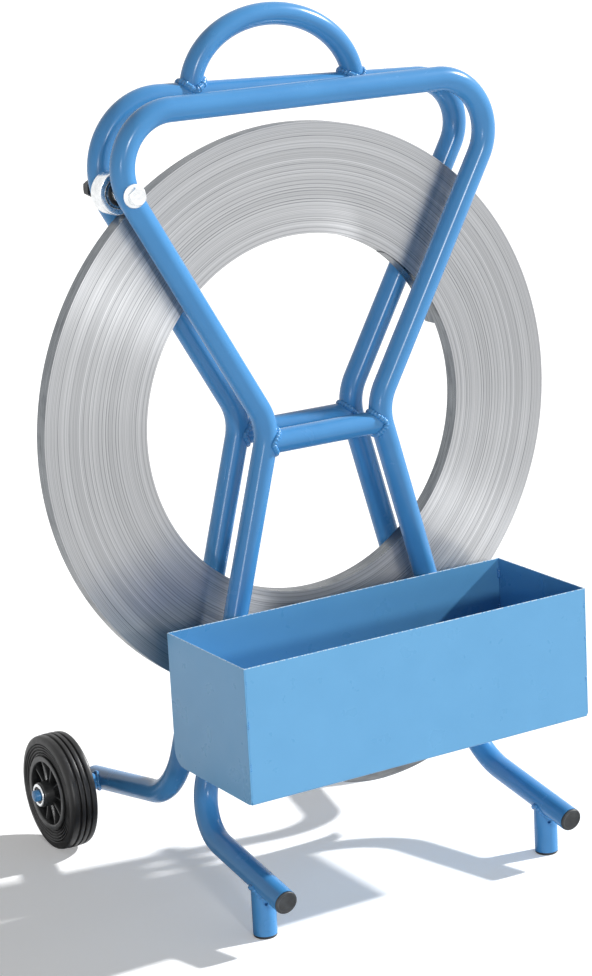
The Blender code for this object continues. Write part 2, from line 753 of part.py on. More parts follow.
def move_to_origin():
    """Carry every part and cutter on one empty, so that the overall box is centred over the origin."""
    base = bpy.data.objects.new("machine_base", None)
    PARTS.objects.link(base)
    base.location = (-COIL_CENTRE_X, (FRONT_EXTENT - BACK_EXTENT) / 2, 0.0)
    for obj in (*PARTS.objects, *CUTTERS.objects):
        if obj is not base:
            obj.parent = base


def main():
    """Build every piece of the dispenser."""
    drills = build_drills()
    front_cope, back_cope = build_frames(drills)
    build_crossbars(front_cope, back_cope)
    build_handle(back_cope)
    build_tray(drills)
    build_feet(front_cope)
    for name, (x, z) in ROLLER_PLACES.items():
        build_bolt(name, x, z)
        build_roller(name, x, z)
    build_axles()
    build_wheel("left", -1)
    build_wheel("right", 1)
    build_coil()
    build_strap_tail()
    move_to_origin()


main()
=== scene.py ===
"""Visual model of a mobile dispenser for steel strapping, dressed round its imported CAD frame.

The enamelled tube frames, the tool tray, the rollers, the wheels and the coil of strap are built
with the roundings, weld beads, tread ribs and wound turns that the CAD solids leave out. Every
finish is a procedural material named for what the real one is made of. Lengths are metres in the
frame's own axes: X to the right, Y from the tray to the wheels, Z up.
"""

import logging
import math
import random
from collections.abc import Callable, Sequence
from dataclasses import dataclass, field
from enum import Enum
from itertools import product

import bmesh
import bpy
from mathutils import Matrix, Quaternion, Vector, noise


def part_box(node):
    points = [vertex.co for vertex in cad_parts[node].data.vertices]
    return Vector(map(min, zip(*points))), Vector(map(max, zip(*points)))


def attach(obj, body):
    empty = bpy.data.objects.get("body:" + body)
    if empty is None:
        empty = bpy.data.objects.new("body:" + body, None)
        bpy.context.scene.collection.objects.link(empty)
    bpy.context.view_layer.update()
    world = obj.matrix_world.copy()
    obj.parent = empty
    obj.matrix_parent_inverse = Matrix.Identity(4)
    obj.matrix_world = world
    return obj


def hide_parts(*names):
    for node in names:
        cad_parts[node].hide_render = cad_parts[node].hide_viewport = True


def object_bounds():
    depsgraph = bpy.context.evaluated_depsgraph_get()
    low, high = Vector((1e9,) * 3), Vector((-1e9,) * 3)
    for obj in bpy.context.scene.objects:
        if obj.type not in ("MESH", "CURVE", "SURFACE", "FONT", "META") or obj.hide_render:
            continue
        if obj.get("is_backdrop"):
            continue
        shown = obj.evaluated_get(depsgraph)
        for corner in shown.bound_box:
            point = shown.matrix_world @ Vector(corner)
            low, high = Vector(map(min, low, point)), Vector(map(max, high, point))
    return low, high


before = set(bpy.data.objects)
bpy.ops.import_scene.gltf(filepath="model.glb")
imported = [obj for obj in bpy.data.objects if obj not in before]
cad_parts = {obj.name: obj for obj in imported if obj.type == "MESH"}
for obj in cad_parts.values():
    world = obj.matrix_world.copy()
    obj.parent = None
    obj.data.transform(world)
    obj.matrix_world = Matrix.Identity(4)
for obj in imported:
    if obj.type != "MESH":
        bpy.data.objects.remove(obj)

MM = 0.001
LOG = logging.getLogger("strap_dispenser")

TUBE_RADIUS = 13.5 * MM
AXLE_RADIUS = 7.0 * MM
STRAP_THICKNESS = 0.5 * MM
CLEARANCE = 0.3 * MM
ON_AXIS = 1e-9
SHARP_ANGLE = math.radians(32.0)
BEVEL_ANGLE = math.radians(40.0)

TO_FRONT = Matrix.Rotation(math.pi / 2, 4, "X")
TO_BACK = Matrix.Rotation(-math.pi / 2, 4, "X")
ROLLERS = ("guide_roller", "support_roller_left", "support_roller_right")

Point2 = tuple[float, float]
Run = tuple[Vector, Vector]


class Side(Enum):
    """The two sides of the machine, as somebody facing the tray sees them."""

    LEFT = -1
    RIGHT = 1

    @property
    def label(self) -> str:
        """The word that the CAD nodes use for this side."""
        return self.name.lower()

    @property
    def outward(self) -> Matrix:
        """Turns a shape built about Z so that its top faces out on this side."""
        return Matrix.Rotation(self.value * math.pi / 2, 4, "Y")

    def facing_out(self, node: str) -> Matrix:
        """Stands a shape built about Z at a CAD node, with its top facing out on this side."""
        return Matrix.Translation(middle(node)) @ self.outward


class Slot(Enum):
    """The record's material slots."""

    ENAMEL = "blue_enamel"
    ZINC = "zinc_plate"
    STRAP = "strap_steel"
    BEARING = "bearing_steel"
    TYRE = "tyre_rubber"
    RIM = "rim_plastic"
    PLUG = "plug_plastic"


@dataclass(frozen=True)
class Finish:
    """A material with the record's slot that it stands for."""

    material: bpy.types.Material
    slot: Slot


# --------------------------------------------------------------------------------------------
# Shapes
# --------------------------------------------------------------------------------------------


@dataclass
class Shape:
    """Points and faces of one or more closed skins, with a finish number for each face."""

    points: list[Vector] = field(default_factory=list)
    faces: list[tuple[int, ...]] = field(default_factory=list)
    finishes: list[int] = field(default_factory=list)

    def face(self, corners: Sequence[int], finish: int = 0) -> None:
        """Add one face over points that are already in the shape."""
        self.faces.append(tuple(corners))
        self.finishes.append(finish)

    def join(self, other: "Shape", matrix: Matrix | None = None) -> "Shape":
        """Take in another shape.

        Args:
            other: the shape whose points and faces are copied.
            matrix: where to put it; left out, it stays where it is.

        Returns:
            This shape, so that joins can follow each other.
        """
        start = len(self.points)
        self.points += [matrix @ point if matrix else point.copy() for point in other.points]
        self.faces += [tuple(start + corner for corner in face) for face in other.faces]
        self.finishes += other.finishes
        return self

    def placed(self, matrix: Matrix) -> "Shape":
        """A copy of the shape moved by a matrix."""
        return Shape().join(self, matrix)


def turned(profile: Sequence[Point2], steps: int, finishes: Sequence[int] = ()) -> Shape:
    """Turn a profile about Z.

    Args:
        profile: (radius, height) points; one that starts and ends on the axis makes a solid, and
            any other is closed into a ring.
        steps: how many flats go round.
        finishes: the finish of each stretch between two points; left out, all are 0.

    Returns:
        The closed skin.
    """
    shape = Shape()
    rings: list[list[int]] = []
    for radius, height in profile:
        start = len(shape.points)
        if radius < ON_AXIS:
            shape.points.append(Vector((0.0, 0.0, height)))
            rings.append([start] * steps)
            continue
        for step in range(steps):
            angle = 2 * math.pi * step / steps
            place = (radius * math.cos(angle), radius * math.sin(angle), height)
            shape.points.append(Vector(place))
        rings.append(list(range(start, start + steps)))
    if profile[0][0] > ON_AXIS:
        rings.append(rings[0])
    for number, (low, high) in enumerate(zip(rings, rings[1:])):
        finish = finishes[number] if finishes else 0
        for step in range(steps):
            after = (step + 1) % steps
            corners = (low[step], low[after], high[after], high[step])
            shape.face(list(dict.fromkeys(corners)), finish)
    return shape


def swept(
    path: Sequence[Vector],
    radius: float | Callable[[int], float],
    sides: int,
    closed: bool = False,
) -> Shape:
    """Sweep a round section along a path, without twisting it.

    Args:
        path: the centreline.
        radius: the section's radius, or a function that gives it for each point of the path.
        sides: how many flats go round the section.
        closed: whether the path's end joins its start.

    Returns:
        The closed skin, with flat caps where the path is open.
    """
    count = len(path)
    tangents = []
    for index in range(count):
        before = path[index - 1] if closed or index else path[0]
        after = path[(index + 1) % count] if closed or index < count - 1 else path[-1]
        tangents.append((after - before).normalized())
    normal = tangents[0].orthogonal().normalized()
    normals = [normal]
    for first, second in zip(tangents, tangents[1:]):
        normal = first.rotation_difference(second) @ normal
        normals.append(normal)
    twist = 0.0
    if closed:
        last = tangents[-1].rotation_difference(tangents[0]) @ normals[-1]
        twist = math.atan2(last.cross(normals[0]).dot(tangents[0]), last.dot(normals[0]))
    shape = Shape()
    for index, (place, along, normal) in enumerate(zip(path, tangents, normals)):
        reach = radius(index) if callable(radius) else radius
        normal = Quaternion(along, twist * index / count) @ normal
        across = along.cross(normal)
        for side in range(sides):
            angle = 2 * math.pi * side / sides
            shape.points.append(
                place + reach * (math.cos(angle) * normal + math.sin(angle) * across)
            )
    for index in range(count if closed else count - 1):
        low = index * sides
        high = (index + 1) % count * sides
        for side in range(sides):
            after = (side + 1) % sides
            shape.face((low + side, low + after, high + after, high + side))
    if not closed:
        shape.face(range(sides))
        shape.face(range((count - 1) * sides, count * sides))
    return shape


def bent(corners: Sequence[Vector], radii: Sequence[float], step: float) -> list[Vector]:
    """The centreline of a bent tube.

    Args:
        corners: where the straight runs would meet.
        radii: each bend's radius on the centreline, one for every inner corner.
        step: the largest turn between two points, in radians.

    Returns:
        The points of the straight runs joined by arcs.
    """
    points = [corners[0]]
    for before, corner, after, radius in zip(corners, corners[1:], corners[2:], radii):
        inward = (before - corner).normalized()
        outward = (after - corner).normalized()
        half = inward.angle(outward) / 2
        centre = corner + (inward + outward).normalized() * (radius / math.sin(half))
        start = corner + inward * (radius / math.tan(half)) - centre
        end = corner + outward * (radius / math.tan(half)) - centre
        turn = start.angle(end)
        count = math.ceil(turn / step)
        for number in range(count + 1):
            share = number / count
            near = math.sin((1 - share) * turn) / math.sin(turn)
            far = math.sin(share * turn) / math.sin(turn)
            points.append(centre + start * near + end * far)
    points.append(corners[-1])
    return points


def curve_through(points: Sequence[Vector], per_span: int) -> list[Vector]:
    """Points of a smooth curve through the given ones.

    Args:
        points: what the curve passes through.
        per_span: how many points each stretch between two of them gets.

    Returns:
        The curve's points, from the first given one to the last.
    """
    ends = [2 * points[0] - points[1], *points, 2 * points[-1] - points[-2]]
    path = []
    for before, first, second, after in zip(ends, ends[1:], ends[2:], ends[3:]):
        for number in range(per_span):
            t = number / per_span
            path.append(
                0.5
                * (
                    2 * first
                    + (second - before) * t
                    + (2 * before - 5 * first + 4 * second - after) * t**2
                    + (3 * first - before - 3 * second + after) * t**3
                )
            )
    path.append(points[-1].copy())
    return path


def ribbon(path: Sequence[Vector], width: float, thickness: float) -> Shape:
    """A flat strip of sheet that stands on edge along a path in a plane across Y.

    Args:
        path: the middle of the strip's thickness.
        width: the strip's width, along Y.
        thickness: the sheet's thickness.

    Returns:
        The closed skin.
    """
    shape = Shape()
    half = width / 2
    for index, place in enumerate(path):
        along = (path[min(index + 1, len(path) - 1)] - path[max(index - 1, 0)]).normalized()
        normal = Vector((-along.z, 0.0, along.x)) * thickness / 2
        for offset in (normal, -normal):
            for edge in (-half, half):
                shape.points.append(place + offset + Vector((0.0, edge, 0.0)))
    for index in range(len(path) - 1):
        low = 4 * index
        high = low + 4
        for near, far in ((0, 1), (1, 3), (3, 2), (2, 0)):
            shape.face((low + near, low + far, high + far, high + near))
    shape.face((0, 1, 3, 2))
    shape.face([4 * len(path) - 4 + corner for corner in (0, 1, 3, 2)])
    return shape


def hexagon_head(across_flats: float, height: float, chamfer: float, dome: float) -> Shape:
    """A hexagon's prism on Z whose corners are turned off at the top.

    Args:
        across_flats: the size of the spanner that fits it.
        height: the prism's height, without the dome.
        chamfer: the radius inside which the top is not turned off.
        dome: how far the top's middle rises over its edge.

    Returns:
        The closed skin, standing on the plane through the origin.
    """
    shape = Shape()
    steps = 72
    fall = math.tan(math.radians(30.0))
    levels: list[list[int]] = []

    def ring(reach: Callable[[float], float], level: Callable[[float], float]) -> None:
        """Add a ring of points, each as far out and as high as two functions of its corner say.

        Args:
            reach: how far out a point lies, from the prism's own reach there.
            level: how high it lies, from the same.
        """
        start = len(shape.points)
        for step in range(steps):
            angle = 2 * math.pi * step / steps
            corner = across_flats / 2 / math.cos((angle + math.pi / 6) % (math.pi / 3) - math.pi / 6)
            out = reach(corner)
            place = (out * math.cos(angle), out * math.sin(angle), level(corner))
            shape.points.append(Vector(place))
        levels.append(list(range(start, start + steps)))

    ring(lambda corner: corner, lambda corner: 0.0)
    ring(lambda corner: corner, lambda corner: height - max(0.0, corner - chamfer) * fall)
    ring(lambda corner: min(chamfer, corner), lambda corner: height)
    for share in (0.75, 0.5, 0.25):
        rise = dome * (1 - share**2)
        ring(lambda corner, share=share: share * chamfer, lambda corner, rise=rise: height + rise)
    for low, high in zip(levels, levels[1:]):
        for step in range(steps):
            after = (step + 1) % steps
            shape.face((low[step], low[after], high[after], high[step]))
    shape.face(levels[0])
    shape.face(levels[-1])
    return shape


def rounded_profile(profile: Sequence[Point2], radius: float, steps: int = 3) -> list[Point2]:
    """Round the corners of a turned profile.

    Args:
        profile: (radius, height) points; its two ends stay where they are.
        radius: how far from each corner its rounding starts, at most half of a short side.
        steps: how many flats each rounding gets.

    Returns:
        The profile with an arc-like curve in place of each inner corner.
    """
    result = [profile[0]]
    for before, corner, after in zip(profile, profile[1:], profile[2:]):
        start, middle, end = (Vector(point) for point in (before, corner, after))
        back = (start - middle).length
        forth = (end - middle).length
        reach = min(radius, back * 0.48, forth * 0.48)
        first = middle + (start - middle).normalized() * reach
        last = middle + (end - middle).normalized() * reach
        for number in range(steps + 1):
            t = number / steps
            place = first * (1 - t) ** 2 + middle * 2 * t * (1 - t) + last * t**2
            result.append((place.x, place.y))
    result.append(profile[-1])
    return result


def rounded_ring(profile: Sequence[Point2], radius: float, steps: int = 3) -> list[Point2]:
    """Round every corner of a closed profile, as rounded_profile does for an open one."""
    around = [profile[-1], *profile, profile[0]]
    return rounded_profile(around, radius, steps)[1:-1]


def middle(node: str) -> Vector:
    """The middle of a CAD node's box."""
    low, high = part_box(node)
    return (low + high) / 2


def extent(node: str) -> Vector:
    """The size of a CAD node's box."""
    low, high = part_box(node)
    return high - low


def add_piece(
    name: str,
    shape: Shape,
    finishes: Sequence[Finish],
    replaces: Sequence[str] = (),
    body: str = "frame",
    centre: Vector | None = None,
    edge: float = 0.0,
) -> bpy.types.Object:
    """Make an object from a shape and fasten it to the frame.

    Args:
        name: the piece's name.
        shape: its skin, in the frame's axes.
        finishes: its finishes, in the order of the shape's finish numbers.
        replaces: the CAD nodes that it is shown in place of.
        body: the CAD body that it rides on.
        centre: where its own origin lies; left out, the frame's origin.
        edge: how wide its sharp edges are rounded.

    Returns:
        The object.
    """
    centre = centre or Vector()
    bm = bmesh.new()
    corners = [bm.verts.new(point - centre) for point in shape.points]
    for face, number in zip(shape.faces, shape.finishes):
        bm.faces.new([corners[index] for index in face]).material_index = number
    bmesh.ops.recalc_face_normals(bm, faces=bm.faces)
    mesh = bpy.data.meshes.new(name)
    bm.to_mesh(mesh)
    bm.free()
    mesh.shade_smooth()
    mesh.set_sharp_from_angle(angle=SHARP_ANGLE)
    for finish in finishes:
        mesh.materials.append(finish.material)
    piece = bpy.data.objects.new(name, mesh)
    piece.location = centre
    bpy.context.scene.collection.objects.link(piece)
    if edge:
        bevel = piece.modifiers.new("rounded_edges", "BEVEL")
        bevel.width = edge
        bevel.segments = 3
        bevel.limit_method = "ANGLE"
        bevel.angle_limit = BEVEL_ANGLE
        weighted = piece.modifiers.new("flat_faces", "WEIGHTED_NORMAL")
        weighted.keep_sharp = True
    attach(piece, body)
    if replaces:
        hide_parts(*replaces)
    LOG.info("%s: %d faces on %s", name, len(shape.faces), body)
    return piece


# --------------------------------------------------------------------------------------------
# Finishes
# --------------------------------------------------------------------------------------------


def linear(code: str) -> tuple[float, float, float, float]:
    """Turn an sRGB hex code such as 4F9AD6 into the linear colour that a shader takes.

    Args:
        code: the hex code, without a hash sign.

    Returns:
        Red, green, blue, and an alpha of 1.
    """
    levels = [int(code[start : start + 2], 16) / 255 for start in (0, 2, 4)]
    turned_levels = [
        level / 12.92 if level <= 0.04045 else ((level + 0.055) / 1.055) ** 2.4
        for level in levels
    ]
    return (*turned_levels, 1.0)


def add_node(
    tree: bpy.types.NodeTree,
    kind: str,
    settings: dict[str | int, object] | None = None,
    links: dict[str | int, bpy.types.NodeSocket] | None = None,
) -> bpy.types.Node:
    """Add a shader node.

    Args:
        tree: the material's or world's node tree.
        kind: Blender's name for the node.
        settings: properties by name, and unlinked inputs by name or number.
        links: the outputs that feed its inputs, by the input's name or number.

    Returns:
        The node.
    """
    node = tree.nodes.new(kind)
    for key, value in (settings or {}).items():
        if isinstance(key, str) and hasattr(node, key):
            setattr(node, key, value)
        else:
            node.inputs[key].default_value = value
    for key, socket in (links or {}).items():
        tree.links.new(socket, node.inputs[key])
    return node


@dataclass
class Recipe:
    """A material being made: its tree, its shader and the coordinates that its patterns use."""

    name: str

    def __post_init__(self) -> None:
        """Start the material with a bare Principled shader."""
        self.material = bpy.data.materials.new(self.name)
        self.material.use_nodes = True
        self.tree = self.material.node_tree
        self.shader = self.tree.nodes["Principled BSDF"]
        self.place = add_node(self.tree, "ShaderNodeTexCoord").outputs["Object"]

    def constants(self, **values: object) -> None:
        """Set inputs of the shader that are the same all over, with _ for a space in the name."""
        for key, value in values.items():
            self.shader.inputs[key.replace("_", " ")].default_value = value

    def drive(self, name: str, socket: bpy.types.NodeSocket) -> None:
        """Feed one of the shader's inputs."""
        self.tree.links.new(socket, self.shader.inputs[name])

    def clouds(
        self,
        size: float,
        detail: float = 2.0,
        place: bpy.types.NodeSocket | None = None,
    ) -> bpy.types.NodeSocket:
        """A soft irregular pattern from 0 to 1 whose patches are about this size in metres.

        Args:
            size: about how large a patch is.
            detail: how many finer layers it has.
            place: the coordinates; left out, the piece's own.

        Returns:
            The pattern's output.
        """
        return add_node(
            self.tree,
            "ShaderNodeTexNoise",
            {"Scale": 1 / size, "Detail": detail},
            {"Vector": place or self.place},
        ).outputs["Fac"]

    def ranged(
        self,
        socket: bpy.types.NodeSocket,
        start: float = 0.3,
        end: float = 0.7,
        low: float = 0.0,
        high: float = 1.0,
    ) -> bpy.types.NodeSocket:
        """Stretch the part of a pattern between start and end over low to high.

        Args:
            socket: the pattern.
            start: the pattern's value that becomes low; left out, near a cloud's lowest.
            end: the pattern's value that becomes high; left out, near a cloud's highest.
            low: the lowest value that comes out.
            high: the highest value that comes out.

        Returns:
            The pattern's output.
        """
        return add_node(
            self.tree,
            "ShaderNodeMapRange",
            {"From Min": start, "From Max": end, "To Min": low, "To Max": high},
            {"Value": socket},
        ).outputs[0]

    def maths(
        self, operation: str, first: bpy.types.NodeSocket, second: bpy.types.NodeSocket | float
    ) -> bpy.types.NodeSocket:
        """Work out one sum on patterns.

        Args:
            operation: Blender's name for the sum.
            first: a pattern.
            second: another pattern, or a number.

        Returns:
            The pattern's output.
        """
        fixed = isinstance(second, (int, float))
        return add_node(
            self.tree,
            "ShaderNodeMath",
            {"operation": operation, **({1: second} if fixed else {})},
            {0: first, **({} if fixed else {1: second})},
        ).outputs[0]

    def blend(
        self,
        share: bpy.types.NodeSocket,
        first: bpy.types.NodeSocket | str,
        second: bpy.types.NodeSocket | str,
    ) -> bpy.types.NodeSocket:
        """Mix two colours, each a hex code or a pattern, by a pattern.

        Args:
            share: how much of the second colour shows.
            first: the colour where the share is 0.
            second: the colour where it is 1.

        Returns:
            The mixed colour's output.
        """
        settings: dict[str | int, object] = {"data_type": "RGBA"}
        links: dict[str | int, bpy.types.NodeSocket] = {0: share}
        for number, colour in ((6, first), (7, second)):
            if isinstance(colour, str):
                settings[number] = linear(colour)
            else:
                links[number] = colour
        return add_node(self.tree, "ShaderNodeMix", settings, links).outputs[2]

    def stretched(self, along: Sequence[float]) -> bpy.types.NodeSocket:
        """The coordinates scaled along each axis, so that a pattern is drawn out.

        Args:
            along: the scale on each axis.

        Returns:
            The coordinates' output.
        """
        return add_node(
            self.tree,
            "ShaderNodeVectorMath",
            {"operation": "MULTIPLY", 1: tuple(along)},
            {0: self.place},
        ).outputs[0]

    def height(self, socket: bpy.types.NodeSocket) -> bpy.types.NodeSocket:
        """A place's height in the piece's own axes, for a line of wear and painted highlight that
        follows an edge.
        """
        return add_node(self.tree, "ShaderNodeSeparateXYZ", links={0: socket}).outputs["Z"]

    def bump(self, *layers: tuple[bpy.types.NodeSocket, float]) -> None:
        """Raise the surface by one pattern after another, each with its depth in metres.

        Args:
            *layers: each pattern with its depth.
        """
        normal = None
        for socket, depth in layers:
            links: dict[str | int, bpy.types.NodeSocket] = {"Height": socket}
            if normal:
                links["Normal"] = normal
            node = add_node(self.tree, "ShaderNodeBump", {"Distance": depth}, links)
            normal = node.outputs["Normal"]
        self.drive("Normal", normal)


@dataclass(frozen=True)
class StoveEnamel:
    """Light-blue stove enamel sprayed on steel.

    A glossy skin with the faint orange peel of a sprayed coat. It thins and chips along cut
    edges, where a broken light line is painted: partly the grey undercoat showing in the chips,
    partly a painted highlight along the edge.
    """

    name: str
    colour: str
    thin: str
    rough: Point2
    shine: float
    coat: float
    speck: str = "2C5F93"
    # The light line's colour: undercoat in the chips, and painted highlight on the edge.
    undercoat_and_highlight: str = "B9CEDD"
    peel: float = 1.6 * MM
    lit_wear_above: float | None = None
    fade: float = 0.6 * MM

    def build(self) -> bpy.types.Material:
        """Make the material.

        Returns:
            The material.
        """
        recipe = Recipe(self.name)
        recipe.constants(
            IOR=1.5,
            Specular_IOR_Level=self.shine,
            Coat_Weight=self.coat,
            Coat_Roughness=0.16,
            Coat_IOR=1.5,
        )
        coat = recipe.blend(recipe.ranged(recipe.clouds(45 * MM, 3.0)), self.thin, self.colour)
        # Specks of dust caught in the coat, a little larger than life so that they show.
        specks = recipe.ranged(recipe.clouds(1.8 * MM, 1.0), 0.76, 0.8, 0.0, 0.08)
        coat = recipe.blend(specks, coat, self.speck)
        rough = recipe.ranged(recipe.clouds(25 * MM, 4.0), 0.3, 0.7, *self.rough)
        # Along the top rim: a broken light line, partly chipped paint and partly painted highlight.
        if self.lit_wear_above is not None:
            height, fade = recipe.height(recipe.place), self.lit_wear_above + self.fade
            rim = recipe.ranged(height, self.lit_wear_above, fade)
            chips = recipe.ranged(recipe.clouds(2.5 * MM, 2.0), 0.44, 0.52)
            lit_wear = recipe.maths("MULTIPLY", rim, chips)
            coat = recipe.blend(lit_wear, coat, self.undercoat_and_highlight)
            rough = recipe.maths("ADD", rough, recipe.maths("MULTIPLY", lit_wear, 0.25))
        recipe.drive("Base Color", coat)
        recipe.drive("Roughness", rough)
        recipe.bump(
            (recipe.clouds(self.peel, 1.0), 0.010 * MM), (recipe.clouds(14 * MM), 0.03 * MM)
        )
        return recipe.material


@dataclass(frozen=True)
class ZincPlate:
    """Bright electroplated zinc with a clear passivation on turned steel.

    The eye sees a cold silver with cloudy patches, and fine tool marks under the plating.
    """

    bright: str = "F6F8F9"
    dull: str = "E0E3E5"
    cloud: float = 4.0 * MM

    def build(self) -> bpy.types.Material:
        """Make the material.

        Returns:
            The material.
        """
        recipe = Recipe("zinc_plate")
        recipe.constants(Metallic=1.0)
        patches = recipe.clouds(self.cloud, 4.0)
        tone = recipe.blend(recipe.ranged(patches, 0.35, 0.7), self.bright, self.dull)
        recipe.drive("Base Color", tone)
        recipe.drive("Roughness", recipe.ranged(patches, 0.3, 0.7, 0.2, 0.3))
        recipe.bump((recipe.clouds(0.9 * MM, 2.0), 0.006 * MM))
        return recipe.material


@dataclass(frozen=True)
class WoundStrapEdge:
    """The slit edges of steel strap, wound turn on turn into a flat ring.

    Each turn catches the light a little differently, and the colour paints this in: the rings of
    brighter and duller grey and the fine grey lines are painted light, and the darkest lines, in
    patches, are painted shade between the turns. So the side reads as hundreds of fine circles, and
    the highlights lie across them as bright fans. The turns are 0.5 mm thick; they are drawn about
    1.5 mm thick, as coarse as they need to be to show.
    """

    bright: str = "CCCDCF"
    dull: str = "B6B7B9"
    # The grey of the fine painted lines, where a turn is painted as catching less light.
    groove: str = "999B9E"
    # The colour of the painted shade in the darkest lines between turns.
    painted_gap_shade: str = "5E6063"
    line: float = 1.5 * MM
    group: float = 11.0 * MM

    def build(self) -> bpy.types.Material:
        """Make the material.

        Returns:
            The material.
        """
        recipe = Recipe("wound_strap_edge")
        recipe.constants(Metallic=0.9, Anisotropic=0.9, Anisotropic_Rotation=0.25)
        flat = recipe.stretched((1.0, 0.0, 1.0))
        radius = add_node(
            recipe.tree, "ShaderNodeVectorMath", {"operation": "LENGTH"}, {0: flat}
        ).outputs["Value"]
        lines, groups = (
            add_node(
                recipe.tree,
                "ShaderNodeTexNoise",
                {"noise_dimensions": "1D", "Scale": 1 / size, "Detail": detail},
                {"W": radius},
            ).outputs["Fac"]
            for size, detail in ((self.line, 2.0), (self.group, 3.0))
        )
        patches = recipe.ranged(recipe.clouds(70 * MM, 2.0), 0.35, 0.65, 0.25, 1.0)
        # Painted light: the bands from dull to bright and the grey lines stand for how each turn
        # catches the light, and the darkest lines, in patches, are painted shade between the turns.
        tone = recipe.blend(recipe.ranged(groups), self.dull, self.bright)
        tone = recipe.blend(recipe.ranged(lines, 0.38, 0.62, 0.0, 0.7), tone, self.groove)
        dark = recipe.maths("MULTIPLY", recipe.ranged(lines, 0.63, 0.73, 0.0, 0.7), patches)
        tone = recipe.blend(dark, tone, self.painted_gap_shade)
        recipe.drive("Base Color", tone)
        recipe.drive("Roughness", recipe.ranged(groups, 0.25, 0.75, 0.33, 0.39))
        recipe.bump((lines, 0.012 * MM))
        tangent = add_node(
            recipe.tree, "ShaderNodeTangent", {"direction_type": "RADIAL", "axis": "Y"}
        )
        recipe.drive("Tangent", tangent.outputs["Tangent"])
        return recipe.material


@dataclass(frozen=True)
class RolledStrapFace:
    """The rolled faces of steel strap, with a thin film of oil.

    Darker and bluer than the slit edges, drawn out along the strap by the rolls.
    """

    bright: str = "8C9094"
    dull: str = "5E6266"
    oil: str = "565B62"
    along_rolls: tuple[float, float, float] = (25.0, 900.0, 25.0)

    def build(self) -> bpy.types.Material:
        """Make the material.

        Returns:
            The material.
        """
        recipe = Recipe("rolled_strap_face")
        recipe.constants(Metallic=1.0)
        streaks = recipe.clouds(1.0, 3.0, recipe.stretched(self.along_rolls))
        stains = recipe.clouds(22 * MM, 3.0)
        tone = recipe.blend(recipe.ranged(streaks), self.dull, self.bright)
        tone = recipe.blend(recipe.ranged(stains, 0.55, 0.75, 0.0, 0.5), tone, self.oil)
        recipe.drive("Base Color", tone)
        recipe.drive("Roughness", recipe.ranged(stains, 0.3, 0.7, 0.24, 0.38))
        recipe.bump((streaks, 0.02 * MM))
        return recipe.material


@dataclass(frozen=True)
class GroundSteel:
    """The ground rings of a ball bearing, fine-grained and slightly oily."""

    bright: str = "C3C6C8"
    dull: str = "8D9093"

    def build(self) -> bpy.types.Material:
        """Make the material.

        Returns:
            The material.
        """
        recipe = Recipe("ground_steel")
        recipe.constants(Metallic=1.0)
        grain = recipe.clouds(2.0 * MM, 3.0)
        tone = recipe.blend(recipe.ranged(grain), self.dull, self.bright)
        recipe.drive("Base Color", tone)
        recipe.drive("Roughness", recipe.ranged(grain, 0.3, 0.7, 0.18, 0.3))
        recipe.bump((grain, 0.01 * MM))
        return recipe.material


@dataclass(frozen=True)
class Moulding:
    """A moulded black rubber or plastic: its grain, its dust and how far it shines."""

    name: str
    dark: str
    dusty: str
    ior: float
    grain: float
    rough: Point2
    shine: float
    depth: float

    def build(self) -> bpy.types.Material:
        """Make the material.

        Returns:
            The material.
        """
        recipe = Recipe(self.name)
        recipe.constants(IOR=self.ior, Specular_IOR_Level=self.shine)
        dust = recipe.maths("MULTIPLY", recipe.clouds(9 * MM, 4.0), recipe.clouds(60 * MM, 2.0))
        tone = recipe.blend(recipe.ranged(dust, 0.2, 0.42), self.dark, self.dusty)
        recipe.drive("Base Color", tone)
        recipe.drive("Roughness", recipe.ranged(recipe.clouds(6 * MM, 3.0), 0.3, 0.7, *self.rough))
        recipe.bump((recipe.clouds(self.grain, 2.0), self.depth))
        return recipe.material


# Natural and SBR rubber vulcanised in a mould: matt, with a bloom of dust on its ribs.
TYRE_RUBBER = Moulding(
    "vulcanised_rubber", "0D0D0E", "18181A", 1.52, 0.9 * MM, (0.34, 0.48), 0.45, 0.02 * MM
)
# Injection-moulded polypropylene: a satin black with a spark-eroded grain.
RIM_POLYPROPYLENE = Moulding(
    "polypropylene", "1F2021", "333435", 1.49, 0.7 * MM, (0.3, 0.42), 0.6, 0.012 * MM
)
# Injection-moulded polyethylene: softer and greyer, scuffed by the floor.
PLUG_POLYETHYLENE = Moulding(
    "polyethylene", "1E2022", "3A3D40", 1.51, 0.8 * MM, (0.42, 0.6), 0.5, 0.02 * MM
)
# Nitrile rubber bonded to a bearing's seals: smooth and slightly oily.
SEAL_NITRILE = Moulding(
    "nitrile_rubber", "0F0F10", "1C1C1D", 1.52, 0.6 * MM, (0.3, 0.42), 0.5, 0.008 * MM
)


